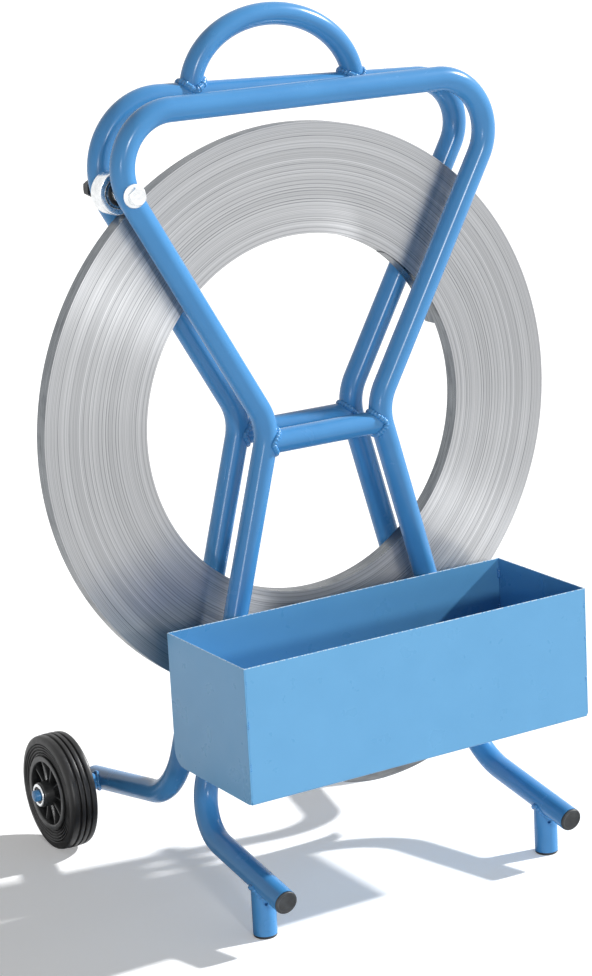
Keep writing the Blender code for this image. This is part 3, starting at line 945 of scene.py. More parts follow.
@dataclass
class Palette:
    """Every finish on the machine, made once."""

    tray_rim: float
    # How far down from the tray's rim the painted line of chips and highlight reaches.
    lit_wear_band: float = 0.9 * MM

    def __post_init__(self) -> None:
        """Build the materials."""
        on_tube = StoveEnamel("stove_enamel_on_tube", "4588BF", "4183BA", (0.2, 0.28), 0.28, 0.16)
        on_sheet = StoveEnamel(
            "stove_enamel_on_sheet",
            "5F9ECB",
            "5C9BC8",
            (0.26, 0.36),
            0.4,
            0.15,
            lit_wear_above=self.tray_rim - self.lit_wear_band,
        )
        self.enamel = Finish(on_tube.build(), Slot.ENAMEL)
        self.tray_enamel = Finish(on_sheet.build(), Slot.ENAMEL)
        self.zinc = Finish(ZincPlate().build(), Slot.ZINC)
        self.strap_edge = Finish(WoundStrapEdge().build(), Slot.STRAP)
        self.strap_face = Finish(RolledStrapFace().build(), Slot.STRAP)
        self.bearing = Finish(GroundSteel().build(), Slot.BEARING)
        self.tyre = Finish(TYRE_RUBBER.build(), Slot.TYRE)
        self.rim = Finish(RIM_POLYPROPYLENE.build(), Slot.RIM)
        self.plug = Finish(PLUG_POLYETHYLENE.build(), Slot.PLUG)
        self.seal = Finish(SEAL_NITRILE.build(), Slot.BEARING)


# --------------------------------------------------------------------------------------------
# Welds
# --------------------------------------------------------------------------------------------


def on_run(run: Run, point: Vector) -> Vector:
    """The point of a straight run that lies nearest to another point.

    Args:
        run: the straight run's two ends.
        point: the other point.

    Returns:
        The point.
    """
    along = run[1] - run[0]
    share = (point - run[0]).dot(along) / along.length_squared
    return run[0] + along * max(0.0, min(1.0, share))


def nearest(runs: Sequence[Run], point: Vector) -> Vector:
    """The point of several straight runs that lies nearest to another point."""
    places = [on_run(run, point) for run in runs]
    return min(places, key=lambda place: (place - point).length_squared)


@dataclass
class WeldBead:
    """A fillet weld laid by hand: a ridge of overlapping ripples, lumpy where the torch paused."""

    seed: int
    thickness: float = 3.1 * MM
    ripple: float = 3.4 * MM
    ripple_depth: float = 0.10
    lump: float = 0.28
    lump_size: float = 7.0 * MM
    spacing: float = 0.55 * MM
    sides: int = 12
    bite: float = 0.985
    proud: float = 0.2
    seam_stretch: float = 1.3
    nearby: float = 6.0
    search_steps: int = 18
    closing_steps: int = 20

    def reach(self, distance: float) -> float:
        """The bead's radius at a distance along it.

        Args:
            distance: how far along the bead.

        Returns:
            The radius there.
        """
        wave = self.ripple_depth * math.sin(2 * math.pi * distance / self.ripple)
        lumps = self.lump * noise.noise((distance / self.lump_size, self.seed * 3.7, 0.0))
        return self.thickness * (1 + wave + lumps)

    def round_branch(
        self,
        start: Vector,
        direction: Vector,
        branch_radius: float,
        path: Sequence[Vector],
        radius: float,
    ) -> Shape:
        """The bead round a tube that is coped on to another.

        Args:
            start: a point on the branch's axis, clear of the tube that it meets.
            direction: along the branch towards that tube.
            branch_radius: the branch's radius.
            path: the other tube's centreline.
            radius: the other tube's radius.

        Returns:
            A closed ring that follows where the two skins meet.
        """
        limit = self.nearby * radius
        beside = [
            run for run in zip(path, path[1:]) if (on_run(run, start) - start).length < limit
        ]
        first = direction.orthogonal().normalized()
        second = direction.cross(first)
        reach = branch_radius * self.bite
        seam = []
        steps = round(2 * self.seam_stretch * math.pi * branch_radius / self.spacing)
        for step in range(steps):
            angle = 2 * math.pi * step / steps
            outward = math.cos(angle) * first + math.sin(angle) * second
            foot = start + reach * outward
            near = 0.0
            far = (nearest(beside, start) - start).dot(direction)
            for _ in range(self.search_steps):
                half = (near + far) / 2
                place = foot + direction * half
                if (nearest(beside, place) - place).length > radius:
                    near = half
                else:
                    far = half
            place = foot + direction * near
            off_main = (place - nearest(beside, place)).normalized()
            seam.append(place + (outward + off_main).normalized() * self.thickness * self.proud)
        length = sum((a - b).length for a, b in zip(seam, seam[1:] + seam[:1]))
        turns = max(1, round(length / self.ripple))
        even = length / turns / self.ripple

        def bead(index: int) -> float:
            """The radius at a point of the seam, with its two ends brought together.

            Args:
                index: the number of the point.

            Returns:
                The radius there.
            """
            distance = index / steps * length / even
            blend = min(1.0, (steps - index) / self.closing_steps)
            return self.reach(distance) * blend + self.thickness * (1 - blend)

        return swept(seam, bead, self.sides, closed=True)

    def stitch(self, start: Vector, end: Vector) -> Shape:
        """A short straight bead with blunt ends.

        Args:
            start: the middle of one end.
            end: the middle of the other end.

        Returns:
            The closed skin.
        """
        length = (end - start).length
        steps = max(8, round(length / self.spacing))
        path = [start.lerp(end, step / steps) for step in range(steps + 1)]

        def bead(index: int) -> float:
            """The radius, falling away in the last stretch at each end.

            Args:
                index: the number of the point.

            Returns:
                The radius there.
            """
            share = index / steps
            close = min(share, 1 - share) * length / self.thickness
            return self.reach(share * length) * math.sqrt(min(1.0, close + 0.05))

        return swept(path, bead, self.sides)


# --------------------------------------------------------------------------------------------
# Sub-assemblies
# --------------------------------------------------------------------------------------------


@dataclass
class Tubing:
    """The tube that both frames, their crossbars and their posts are made of."""

    radius: float = TUBE_RADIUS
    bend_radius: float = 60.0 * MM
    bend_step: float = math.radians(4.0)
    sides: int = 40


@dataclass(frozen=True)
class RailBends:
    """How the two upper corners of a frame are bent, from left to right."""

    radii: Point2
    rises: Point2 = (0.0, 0.0)


EVEN_BENDS = RailBends((60.0 * MM, 60.0 * MM))
# The back rail was bent askew: its left corner stands higher and wider than its right one.
ASKEW_BENDS = RailBends((73.0 * MM, 52.0 * MM), (12.3 * MM, -7.3 * MM))


@dataclass
class BentFrame:
    """One bent-tube frame with its crossbar: feet, legs, waist, arms and rail."""

    depth_side: int
    foot_x: float
    foot_z: float
    foot_reach: float
    bends: RailBends
    tubing: Tubing = field(default_factory=Tubing)
    waist_half: float = 71.0 * MM
    waist_over_crossbar: float = 19.0 * MM
    rail_over_waist: float = 356.0 * MM
    arm_spread: float = 0.567
    foot_fall: float = math.radians(10.0)
    bead_seed: int = 10

    def __post_init__(self) -> None:
        """Find the frame's plane, middle and rail, and lay out its centreline."""
        self.label = "front" if self.depth_side < 0 else "back"
        self.bar = middle(f"{self.label}_crossbar")
        self.waist_z = self.bar.z + self.waist_over_crossbar
        corners = []
        for side in (-1, 1):
            half = [
                self.foot_end(side),
                self.at(side * self.foot_x, self.foot_z),
                self.at(side * self.waist_half, self.waist_z),
                self.rail_corner(side),
            ]
            corners += half if side < 0 else half[::-1]
        leg_bends = 2 * [self.tubing.bend_radius]
        radii = [*leg_bends, *self.bends.radii, *leg_bends]
        self.path = bent(corners, radii, self.tubing.bend_step)

    def at(self, across: float, height: float) -> Vector:
        """A point in the frame's plane, across from its middle and over the floor."""
        return Vector((self.bar.x + across, self.bar.y, height))

    def rail_corner(self, side: int) -> Vector:
        """Where an arm and the rail would meet.

        Args:
            side: -1 for the left arm, 1 for the right one.

        Returns:
            The corner.
        """
        rise = self.rail_over_waist + self.bends.rises[side > 0]
        half = self.waist_half + self.arm_spread * rise
        return self.at(side * half, self.waist_z + rise)

    def foot_end(self, side: int) -> Vector:
        """The middle of a foot's open end.

        Args:
            side: -1 for the left foot, 1 for the right one.

        Returns:
            The middle.
        """
        fall = self.foot_reach * math.tan(self.foot_fall)
        place = self.at(side * self.foot_x, self.foot_z - fall)
        place.y += self.depth_side * self.foot_reach
        return place

    def build(self, palette: Palette) -> None:
        """Make the bent tube, the crossbar and the beads that join them.

        Args:
            palette: the machine's finishes.
        """
        tube = self.tubing
        add_piece(
            f"{self.label}_frame_enamelled",
            swept(self.path, tube.radius, tube.sides),
            [palette.enamel],
            [f"{self.label}_frame_tube"],
        )
        half = extent(f"{self.label}_crossbar").x / 2
        ends = [self.bar + Vector((side * half, 0.0, 0.0)) for side in (-1, 1)]
        add_piece(
            f"{self.label}_crossbar_enamelled",
            swept(ends, tube.radius - 0.2 * MM, tube.sides),
            [palette.enamel],
            [f"{self.label}_crossbar"],
        )
        for side in Side:
            bead = WeldBead(seed=self.bead_seed + 3 * self.depth_side + side.value)
            along = Vector((side.value, 0.0, 0.0))
            start = self.bar + along * (half - 2 * tube.radius)
            shape = bead.round_branch(start, along, tube.radius, self.path, tube.radius)
            name = f"{self.label}_crossbar_weld_{side.label}"
            add_piece(name, shape, [palette.enamel])


@dataclass
class CarryingHandle:
    """The arch welded on the back rail, a little off its middle."""

    back: BentFrame
    off_middle: float = -5.0 * MM
    half_width: float = 104.0 * MM
    rise: float = 81.5 * MM
    radius: float = 12.5 * MM
    steps: int = 96
    bead_seed: int = 20

    def at(self, angle: float) -> Vector:
        """A point of the arch's centreline, from its left foot at 0 to its right one at pi.

        Args:
            angle: how far round the arch, in radians.

        Returns:
            The point.
        """
        left, right = self.back.rail_corner(-1), self.back.rail_corner(1)
        across = self.back.bar.x + self.off_middle - self.half_width * math.cos(angle)
        place = left.lerp(right, (across - left.x) / (right.x - left.x))
        return place + Vector((0.0, 0.0, self.rise * math.sin(angle)))

    def build(self, palette: Palette) -> None:
        """Make the arch and a bead round each of its feet.

        Args:
            palette: the machine's finishes.
        """
        path = [self.at(math.pi * step / self.steps) for step in range(self.steps + 1)]
        add_piece(
            "carrying_handle_enamelled",
            swept(path, self.radius, self.back.tubing.sides),
            [palette.enamel],
            ["carrying_handle"],
        )
        rail = self.back.tubing.radius
        lift = math.asin(rail / self.rise)
        for side in Side:
            foot = self.at(lift if side is Side.LEFT else math.pi - lift)
            above = self.at(1.6 * lift if side is Side.LEFT else math.pi - 1.6 * lift)
            down = (foot - above).normalized()
            seed = self.bead_seed + side.value
            bead = WeldBead(seed=seed, thickness=3.9 * MM, lump=0.55, lump_size=6.0 * MM)
            start = foot - down * 2 * self.radius
            shape = bead.round_branch(start, down, self.radius, self.back.path, rail)
            add_piece(f"handle_weld_{side.label}", shape, [palette.enamel])


@dataclass
class FrontFoot:
    """The post under a front foot, with its vent hole and its weld."""

    front: BentFrame
    side: Side
    vent_radius: float = 1.9 * MM
    vent_z: float = 41.0 * MM
    vent_aside: float = -4.0 * MM
    vent_depth: float = 6.0 * MM
    bead_seed: int = 30

    def build(self, palette: Palette) -> None:
        """Make the post, its vent and the bead under the foot.

        Args:
            palette: the machine's finishes.
        """
        node = f"foot_post_{self.side.label}"
        low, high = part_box(node)
        axis = middle(node)
        tube = self.front.tubing
        bottom = Vector((axis.x, axis.y, low.z))
        top = Vector((axis.x, axis.y, high.z))
        radius = tube.radius - 0.15 * MM
        shape = swept([bottom, top], radius, tube.sides)
        post = add_piece(f"{node}_enamelled", shape, [palette.enamel], [node])
        bore, depth = self.vent_radius, self.vent_depth
        cutter_shape = turned([(0.0, 0.0), (bore, 0.0), (bore, depth), (0.0, depth)], 20)
        inside = axis.y - tube.radius + depth / 2
        mouth = Vector((axis.x + self.vent_aside, inside, self.vent_z))
        vent = Matrix.Translation(mouth) @ TO_FRONT
        cut(post, cutter_shape.placed(vent))
        bead = WeldBead(seed=self.bead_seed + self.side.value, thickness=2.4 * MM, lump=0.3)
        shape = bead.round_branch(
            bottom, Vector((0.0, 0.0, 1.0)), radius, self.front.path, tube.radius
        )
        name = f"foot_post_weld_{self.side.label}"
        add_piece(name, shape, [palette.enamel])


def cut(piece: bpy.types.Object, shape: Shape) -> None:
    """Cut a shape out of a piece for good.

    Args:
        piece: the piece to cut.
        shape: what is taken away, in the frame's axes.
    """
    mesh = bpy.data.meshes.new("cutter")
    mesh.from_pydata(shape.points, [], shape.faces)
    bm = bmesh.new()
    bm.from_mesh(mesh)
    bmesh.ops.recalc_face_normals(bm, faces=bm.faces)
    bm.to_mesh(mesh)
    bm.free()
    cutter = bpy.data.objects.new("cutter", mesh)
    bpy.context.scene.collection.objects.link(cutter)
    modifier = piece.modifiers.new("hole", "BOOLEAN")
    modifier.solver = "EXACT"
    modifier.object = cutter
    graph = bpy.context.evaluated_depsgraph_get()
    made = bpy.data.meshes.new_from_object(piece.evaluated_get(graph))
    piece.modifiers.remove(modifier)
    piece.data = made
    made.set_sharp_from_angle(angle=SHARP_ANGLE)
    bpy.data.objects.remove(cutter, do_unlink=True)


@dataclass
class EndPlug:
    """A moulded plug whose rounded flange covers the end of a tube."""

    node: str
    end: Vector
    axis: Vector
    tube_radius: float = TUBE_RADIUS
    flange: float = 3.0 * MM
    stem_radius: float = 10.6 * MM
    stem: float = 12.0 * MM

    def build(self, palette: Palette) -> None:
        """Make the plug with a slightly sunken face inside a raised rim.

        Args:
            palette: the machine's finishes.
        """
        rim = self.tube_radius - 0.3 * MM
        profile = [
            (0.0, self.flange - 0.5 * MM),
            (rim * 0.74, self.flange - 0.5 * MM),
            (rim * 0.80, self.flange),
            (rim - 0.9 * MM, self.flange),
            (rim, self.flange - 1.1 * MM),
            (rim, 0.3 * MM),
            (self.stem_radius, 0.3 * MM),
            (self.stem_radius, -self.stem),
            (0.0, -self.stem),
        ]
        shape = turned(rounded_profile(profile, 0.5 * MM), 48)
        facing = Vector((0.0, 0.0, 1.0)).rotation_difference(self.axis).to_matrix().to_4x4()
        add_piece(
            f"{self.node}_moulded",
            shape.placed(Matrix.Translation(self.end) @ facing),
            [palette.plug],
            [self.node],
        )


@dataclass
class ToolTray:
    """The folded tray in front and the end plates stitched to it."""

    sheet: float = 1.5 * MM
    back_bend: float = 18.0 * MM
    front_bend: float = 2.5 * MM
    end_corner: float = 6.0 * MM
    edge: float = 0.45 * MM
    stitch: float = 13.0 * MM
    stitch_sink: float = 0.3 * MM
    stitch_heights: tuple[float, ...] = (0.24, 0.55, 0.84)
    bead_seed: int = 41

    def outline(self, low: Vector, high: Vector, inset: float, front_bend: float) -> list[Point2]:
        """The tray's outline in Y and Z, from the front lip under the floor to the back lip.

        Args:
            low: the lowest corner of its box.
            high: the highest corner of its box.
            inset: how far inside the box the outline runs.
            front_bend: the outer radius of its lower front corner.

        Returns:
            The outline's points, open at the top.
        """
        front, back, floor = low.y + inset, high.y - inset, low.z + inset
        points = [(front, high.z)]
        for bend, start, steps in ((front_bend, math.pi, 6), (self.back_bend, 1.5 * math.pi, 14)):
            radius = max(bend - inset, 0.3 * MM)
            centre = front + radius if start == math.pi else back - radius
            for step in range(steps + 1):
                angle = start + math.pi / 2 * step / steps
                across = centre + radius * math.cos(angle)
                points.append((across, floor + radius + radius * math.sin(angle)))
        points.append((back, high.z))
        return points

    def folded_sheet(self) -> Shape:
        """The front, floor and back in one bent sheet between the end plates.

        Returns:
            The closed skin.
        """
        low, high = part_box("tray_body")
        low.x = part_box("tray_end_left")[1].x
        high.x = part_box("tray_end_right")[0].x
        outer = self.outline(low, high, 0.0, self.front_bend)
        inner = self.outline(low, high, self.sheet, self.front_bend)
        around = outer + inner[::-1]
        return self.extruded(around, low.x, high.x)

    def end_plate(self, side: Side) -> Shape:
        """One end plate, with its lower corners rounded."""
        low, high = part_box(f"tray_end_{side.label}")
        return self.extruded(self.outline(low, high, 0.0, self.end_corner), low.x, high.x)

    def extruded(self, around: Sequence[Point2], start: float, end: float) -> Shape:
        """A closed outline in Y and Z drawn out along X.

        Args:
            around: the outline's points.
            start: where it begins on X.
            end: where it ends on X.

        Returns:
            The closed skin.
        """
        count = len(around)
        shape = Shape([Vector((x, y, z)) for x in (start, end) for y, z in around])
        for step in range(count):
            after = (step + 1) % count
            shape.face((step, after, after + count, step + count))
        shape.face(range(count))
        shape.face(range(count, 2 * count))
        return shape

    def build(self, palette: Palette) -> None:
        """Make the sheet, the two plates, and the stitches inside their corners.

        Args:
            palette: the machine's finishes.
        """
        pieces = [("tool_tray_enamelled", "tray_body", self.folded_sheet())]
        for side in Side:
            node = f"tray_end_{side.label}"
            pieces.append((f"{node}_enamelled", node, self.end_plate(side)))
        for name, node, shape in pieces:
            add_piece(name, shape, [palette.tray_enamel], [node], edge=self.edge)
        low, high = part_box("tray_body")
        stitches = Shape()
        sink = self.stitch_sink
        inside = self.sheet + sink
        places = product(
            (low.x + sink, high.x - sink),
            (low.y + inside, high.y - inside),
            self.stitch_heights,
        )
        for seed, (x, y, share) in enumerate(places, self.bead_seed):
            bead = WeldBead(seed=seed, thickness=1.9 * MM, ripple=2.2 * MM)
            start = Vector((x, y, low.z + share * (high.z - low.z)))
            stitches.join(bead.stitch(start, start + Vector((0.0, 0.0, self.stitch))))
        add_piece("tool_tray_stitches", stitches, [palette.enamel])


@dataclass
class RollerStation:
    """A roller on two sealed bearings, with the sleeves, bolt and capped nut that carry it."""

    name: str
    chamfer: float = 1.2 * MM
    bearing_radius: float = 16.0 * MM
    bolt_radius: float = 6.0 * MM
    hex_size: float = 18.0 * MM
    flange_radius: float = 13.0 * MM
    flange: float = 2.5 * MM
    head_height: float = 8.0 * MM
    head_turn: float = math.radians(11.0)
    steps: int = 72

    def facing(self, node: str) -> Matrix:
        """Where a shape built about Z goes to stand at a node with its top to the front."""
        return Matrix.Translation(middle(f"{self.name}_{node}")) @ TO_FRONT

    def build_shell(self, palette: Palette) -> None:
        """The turned roller, with broken edges and a shallow groove beside each bearing.

        Args:
            palette: the machine's finishes.
        """
        size = extent(f"{self.name}_shell")
        radius, half = size.z / 2, size.y / 2
        profile = [
            (radius - self.chamfer, half),
            (radius, half - self.chamfer),
            (radius, self.chamfer - half),
            (radius - self.chamfer, -half),
            (self.bearing_radius + 1.0 * MM, -half),
            (self.bearing_radius, 0.8 * MM - half),
            (self.bearing_radius, half - 0.8 * MM),
            (self.bearing_radius + 1.0 * MM, half),
        ]
        shape = turned(rounded_ring(profile, 0.4 * MM), self.steps)
        add_piece(
            f"{self.name}_turned",
            shape.placed(self.facing("shell")),
            [palette.zinc],
            [f"{self.name}_shell"],
            body=self.name,
            centre=middle(f"{self.name}_shell"),
        )

    def build_bearing(self, where: str, palette: Palette) -> None:
        """A bearing's ground rings with the black seal sunk between them.

        Args:
            where: front or back.
            palette: the machine's finishes.
        """
        node = f"{self.name}_bearing_{where}"
        half = extent(node).y / 2
        outer = self.bearing_radius - CLEARANCE
        bore = self.bolt_radius + CLEARANCE
        face = [
            (bore, half, 0),
            (bore + 2.2 * MM, half, 1),
            (bore + 2.5 * MM, half - 0.6 * MM, 1),
            (outer - 4.2 * MM, half - 0.7 * MM, 1),
            (outer - 3.7 * MM, half - 0.3 * MM, 1),
            (outer - 2.9 * MM, half - 0.6 * MM, 1),
            (outer - 2.5 * MM, half, 0),
            (outer, half, 0),
        ]
        profile = [(radius, height) for radius, height, _ in face]
        finishes = [finish for *_, finish in face]
        back = [(radius, -height) for radius, height, _ in face[::-1]]
        finishes += [0, *[finish for *_, finish in face[-2::-1]]]
        add_piece(
            f"{node}_sealed",
            turned(profile + back, self.steps, finishes).placed(self.facing(f"bearing_{where}")),
            [palette.bearing, palette.seal],
            [node],
            body=self.name,
            centre=middle(node),
        )

    def build_sleeve(self, where: str, palette: Palette) -> None:
        """The plain sleeve between a bearing and a frame.

        Args:
            where: front or back.
            palette: the machine's finishes.
        """
        node = f"{self.name}_sleeve_{where}"
        size = extent(node)
        outer, half, bore = size.z / 2, size.y / 2, self.bolt_radius + CLEARANCE
        profile = [(outer, half), (outer, -half), (bore, -half), (bore, half)]
        add_piece(
            f"{node}_turned",
            turned(rounded_ring(profile, 0.4 * MM), 48).placed(self.facing(f"sleeve_{where}")),
            [palette.zinc],
            [node],
        )

    def build_bolt(self, palette: Palette) -> None:
        """The flanged bolt: shank, flange with a sloping top, and hexagon.

        Args:
            palette: the machine's finishes.
        """
        low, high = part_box(f"{self.name}_bolt")
        axis = middle(f"{self.name}_bolt")
        hex_height = self.head_height - self.flange / 2
        seat = low.y + hex_height + self.flange
        profile = [
            (0.0, self.flange),
            (self.hex_size / 2 + 0.6 * MM, self.flange),
            (self.flange_radius - 0.5 * MM, self.flange * 0.5),
            (self.flange_radius, self.flange * 0.22),
            (self.flange_radius, 0.0),
            (self.bolt_radius, 0.0),
            (self.bolt_radius, seat - high.y + 1.0 * MM),
            (self.bolt_radius - 1.0 * MM, seat - high.y),
            (0.0, seat - high.y),
        ]
        shape = turned(rounded_profile(profile, 0.35 * MM), self.steps)
        crown = hexagon_head(self.hex_size, hex_height, self.hex_size * 0.475, -0.5 * MM)
        shape.join(crown, Matrix.Translation((0.0, 0.0, self.flange)))
        place = Matrix.Translation((axis.x, seat, axis.z)) @ TO_FRONT
        add_piece(
            f"{self.name}_flange_bolt",
            shape.placed(place @ Matrix.Rotation(self.head_turn, 4, "Z")),
            [palette.zinc],
            [f"{self.name}_bolt"],
        )

    def build_nut(self, palette: Palette) -> None:
        """The capped nut behind the back frame.

        Args:
            palette: the machine's finishes.
        """
        node = f"{self.name}_nut"
        low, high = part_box(node)
        axis = middle(node)
        bolt_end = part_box(f"{self.name}_bolt")[1].y
        size = self.hex_size
        cap = hexagon_head(size, high.y - low.y, size * 0.47, bolt_end - high.y)
        place = Matrix.Translation((axis.x, low.y, axis.z)) @ TO_BACK
        add_piece(f"{node}_capped", cap.placed(place), [palette.plug], [node])

    def build(self, palette: Palette) -> None:
        """Make the whole station.

        Args:
            palette: the machine's finishes.
        """
        self.build_shell(palette)
        for where in ("front", "back"):
            self.build_bearing(where, palette)
            self.build_sleeve(where, palette)
        self.build_bolt(palette)
        self.build_nut(palette)


@dataclass
class TransportWheel:
    """A wheel on its stub axle: ribbed rim, grooved rubber tyre and push-on ring."""

    side: Side
    rim_radius: float = 43.0 * MM
    band: float = 5.0 * MM
    lip: float = 1.7 * MM
    half_band: float = 18.5 * MM
    hub_radius: float = 15.0 * MM
    hub_inside: float = 15.0 * MM
    web: float = 3.0 * MM
    ribs: int = 10
    rib_thickness: float = 3.0 * MM
    ridges: int = 4
    ridge_pitch: float = 3.5 * MM
    axle_radius: float = AXLE_RADIUS
    steps: int = 96

    def __post_init__(self) -> None:
        """Find the wheel's middle and how its outer face is turned out."""
        self.body = f"wheel_{self.side.label}"
        self.hub = middle(f"tyre_{self.side.label}")
        self.place = self.side.facing_out(f"tyre_{self.side.label}")

    def build_tyre(self, palette: Palette) -> None:
        """Rubber with stepped rings on its sides and three grooves round its tread.

        Args:
            palette: the machine's finishes.
        """
        node = f"tyre_{self.side.label}"
        size = extent(node)
        tread, half = size.z / 2, size.x / 2
        seat = self.rim_radius + CLEARANCE
        edge = self.rim_radius + self.lip + CLEARANCE
        wall = [(seat, half - 2.6 * MM), (edge, half - 2.6 * MM)]
        for number in range(self.ridges):
            share = number / self.ridges
            radius = edge + self.ridge_pitch * number
            height = half * (0.90 + 0.09 * share)
            wall += [
                (radius + 0.2 * MM, height - 1.7 * MM),
                (radius + 0.9 * MM, height),
                (radius + 2.2 * MM, height + 0.2 * MM),
                (radius + 2.9 * MM, height - 1.7 * MM),
            ]
        wall += [
            (edge + self.ridge_pitch * self.ridges + 0.6 * MM, half),
            (tread - 4.4 * MM, half * 0.95),
            (tread - 1.4 * MM, half * 0.86),
            (tread - 0.7 * MM, half * 0.76),
        ]
        groove = [
            (tread - 0.3 * MM, half * 0.50),
            (tread - 2.8 * MM, half * 0.45),
            (tread - 2.8 * MM, half * 0.36),
            (tread, half * 0.31),
            (tread, half * 0.07),
            (tread - 2.8 * MM, half * 0.035),
        ]
        one_side = wall + groove
        profile = one_side + [(radius, -height) for radius, height in one_side[::-1]]
        add_piece(
            f"{node}_ribbed",
            turned(rounded_ring(profile, 0.5 * MM, 2), self.steps).placed(self.place),
            [palette.tyre],
            [node],
            body=self.body,
            centre=self.hub,
        )

    def build_rim(self, palette: Palette) -> None:
        """The moulded rim: a band, a dished web, a hub and tapered ribs on both faces.

        Args:
            palette: the machine's finishes.
        """
        node = f"wheel_rim_{self.side.label}"
        inner = self.rim_radius - self.band
        low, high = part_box(node)
        hub_outside = max(high.x - self.hub.x, self.hub.x - low.x)
        face = self.rim_face(hub_outside, inner)
        back = self.rim_face(self.hub_inside, inner)
        profile = face + [(radius, -height) for radius, height in back[-2::-1]]
        shape = turned(rounded_ring(profile, 0.6 * MM, 3), self.steps)
        for number in range(self.ribs):
            spin = Matrix.Rotation(2 * math.pi * (number + 0.5) / self.ribs, 4, "Z")
            for face_side in (-1, 1):
                shape.join(self.rib(inner, face_side), spin)
        add_piece(
            f"{node}_moulded",
            shape.placed(self.place),
            [palette.rim],
            [node],
            body=self.body,
            centre=self.hub,
        )

    def rim_face(self, hub_reach: float, inner: float) -> list[Point2]:
        """Half of the rim's profile, from its bore out to the lip that overlaps the tyre.

        Args:
            hub_reach: how far the hub stands out from the wheel's middle on this face.
            inner: the inside of the rim's band.

        Returns:
            The profile's (radius, height) points.
        """
        lip = self.rim_radius + self.lip
        return [
            (self.axle_radius + CLEARANCE, hub_reach),
            (self.hub_radius - 1.2 * MM, hub_reach),
            (self.hub_radius - 0.2 * MM, hub_reach - 1.4 * MM),
            (self.hub_radius + 0.8 * MM, self.web / 2 + 2.0 * MM),
            (self.hub_radius + 3.0 * MM, self.web / 2),
            (inner - 3.0 * MM, self.web / 2),
            (inner - 0.8 * MM, self.web / 2 + 2.5 * MM),
            (inner, self.half_band - 1.0 * MM),
            (inner + 1.0 * MM, self.half_band),
            (lip - 0.6 * MM, self.half_band),
            (lip, self.half_band - 0.6 * MM),
            (lip, self.half_band - 1.3 * MM),
            (self.rim_radius, self.half_band - 1.3 * MM),
            (self.rim_radius, 0.0),
        ]

    def rib(self, inner: float, face: int) -> Shape:
        """One rib: level along its crest, thinner there than at its root.

        Args:
            inner: the inside of the rim's band.
            face: 1 for the outer face, -1 for the inner one.

        Returns:
            The closed skin.
        """
        shape = Shape()
        steps = 8
        thickness = self.rib_thickness / 2
        start = self.hub_radius - 1.0 * MM
        end = inner + 1.0 * MM
        for step in range(steps + 1):
            share = step / steps
            radius = start + (end - start) * share
            crest = self.half_band - 2.8 * MM - 0.5 * MM * math.sin(math.pi * share)
            for height, half in ((0.0, thickness), (crest - 0.5 * MM, thickness * 0.62)):
                for across in (-half, half):
                    shape.points.append(Vector((radius, across, face * height)))
            for across in (-thickness * 0.45, thickness * 0.45):
                shape.points.append(Vector((radius, across, face * crest)))
        order = (0, 1, 3, 5, 4, 2)
        for step in range(steps):
            low, high = 6 * step, 6 * step + 6
            for near, far in zip(order, (*order[1:], order[0])):
                shape.face((low + near, low + far, high + far, high + near))
        shape.face(order)
        shape.face([6 * steps + corner for corner in order])
        return shape

    def build_retainer(self, palette: Palette) -> None:
        """The bright push-on ring outside the hub, with a black cone sunk round the axle as painted
        shade in its eye.

        Args:
            palette: the machine's finishes.
        """
        ring = f"wheel_retainer_{self.side.label}"
        size = extent(ring)
        bore, outer, half = self.axle_radius + CLEARANCE, size.z / 2, size.x / 2
        eye = outer - 3.6 * MM
        bright = [
            (outer, half * 0.4),
            (outer - 0.9 * MM, half + 0.3 * MM),
            (eye + 0.6 * MM, half + 0.3 * MM),
            (eye, half - 0.2 * MM),
            (eye, -half),
            (outer, -half),
        ]
        # Painted shade: the cone sunk round the axle takes the black seal rubber to stand for the
        # shadow in the ring's eye.
        dark = [
            (eye - 0.1 * MM, -half * 0.3),
            (bore, half * 0.2),
            (bore, -half),
            (eye - 0.1 * MM, -half),
        ]
        shape = turned(rounded_ring(bright, 0.3 * MM), self.steps)
        painted_shade_cone = turned(dark, self.steps)
        painted_shade_cone.finishes = [1] * len(painted_shade_cone.faces)
        shape.join(painted_shade_cone)
        add_piece(
            f"{ring}_pressed",
            shape.placed(self.side.facing_out(ring)),
            [palette.zinc, palette.seal],
            [ring],
        )

    def build(self, palette: Palette) -> None:
        """Make the whole wheel.

        Args:
            palette: the machine's finishes.
        """
        self.build_tyre(palette)
        self.build_rim(palette)
        self.build_retainer(palette)


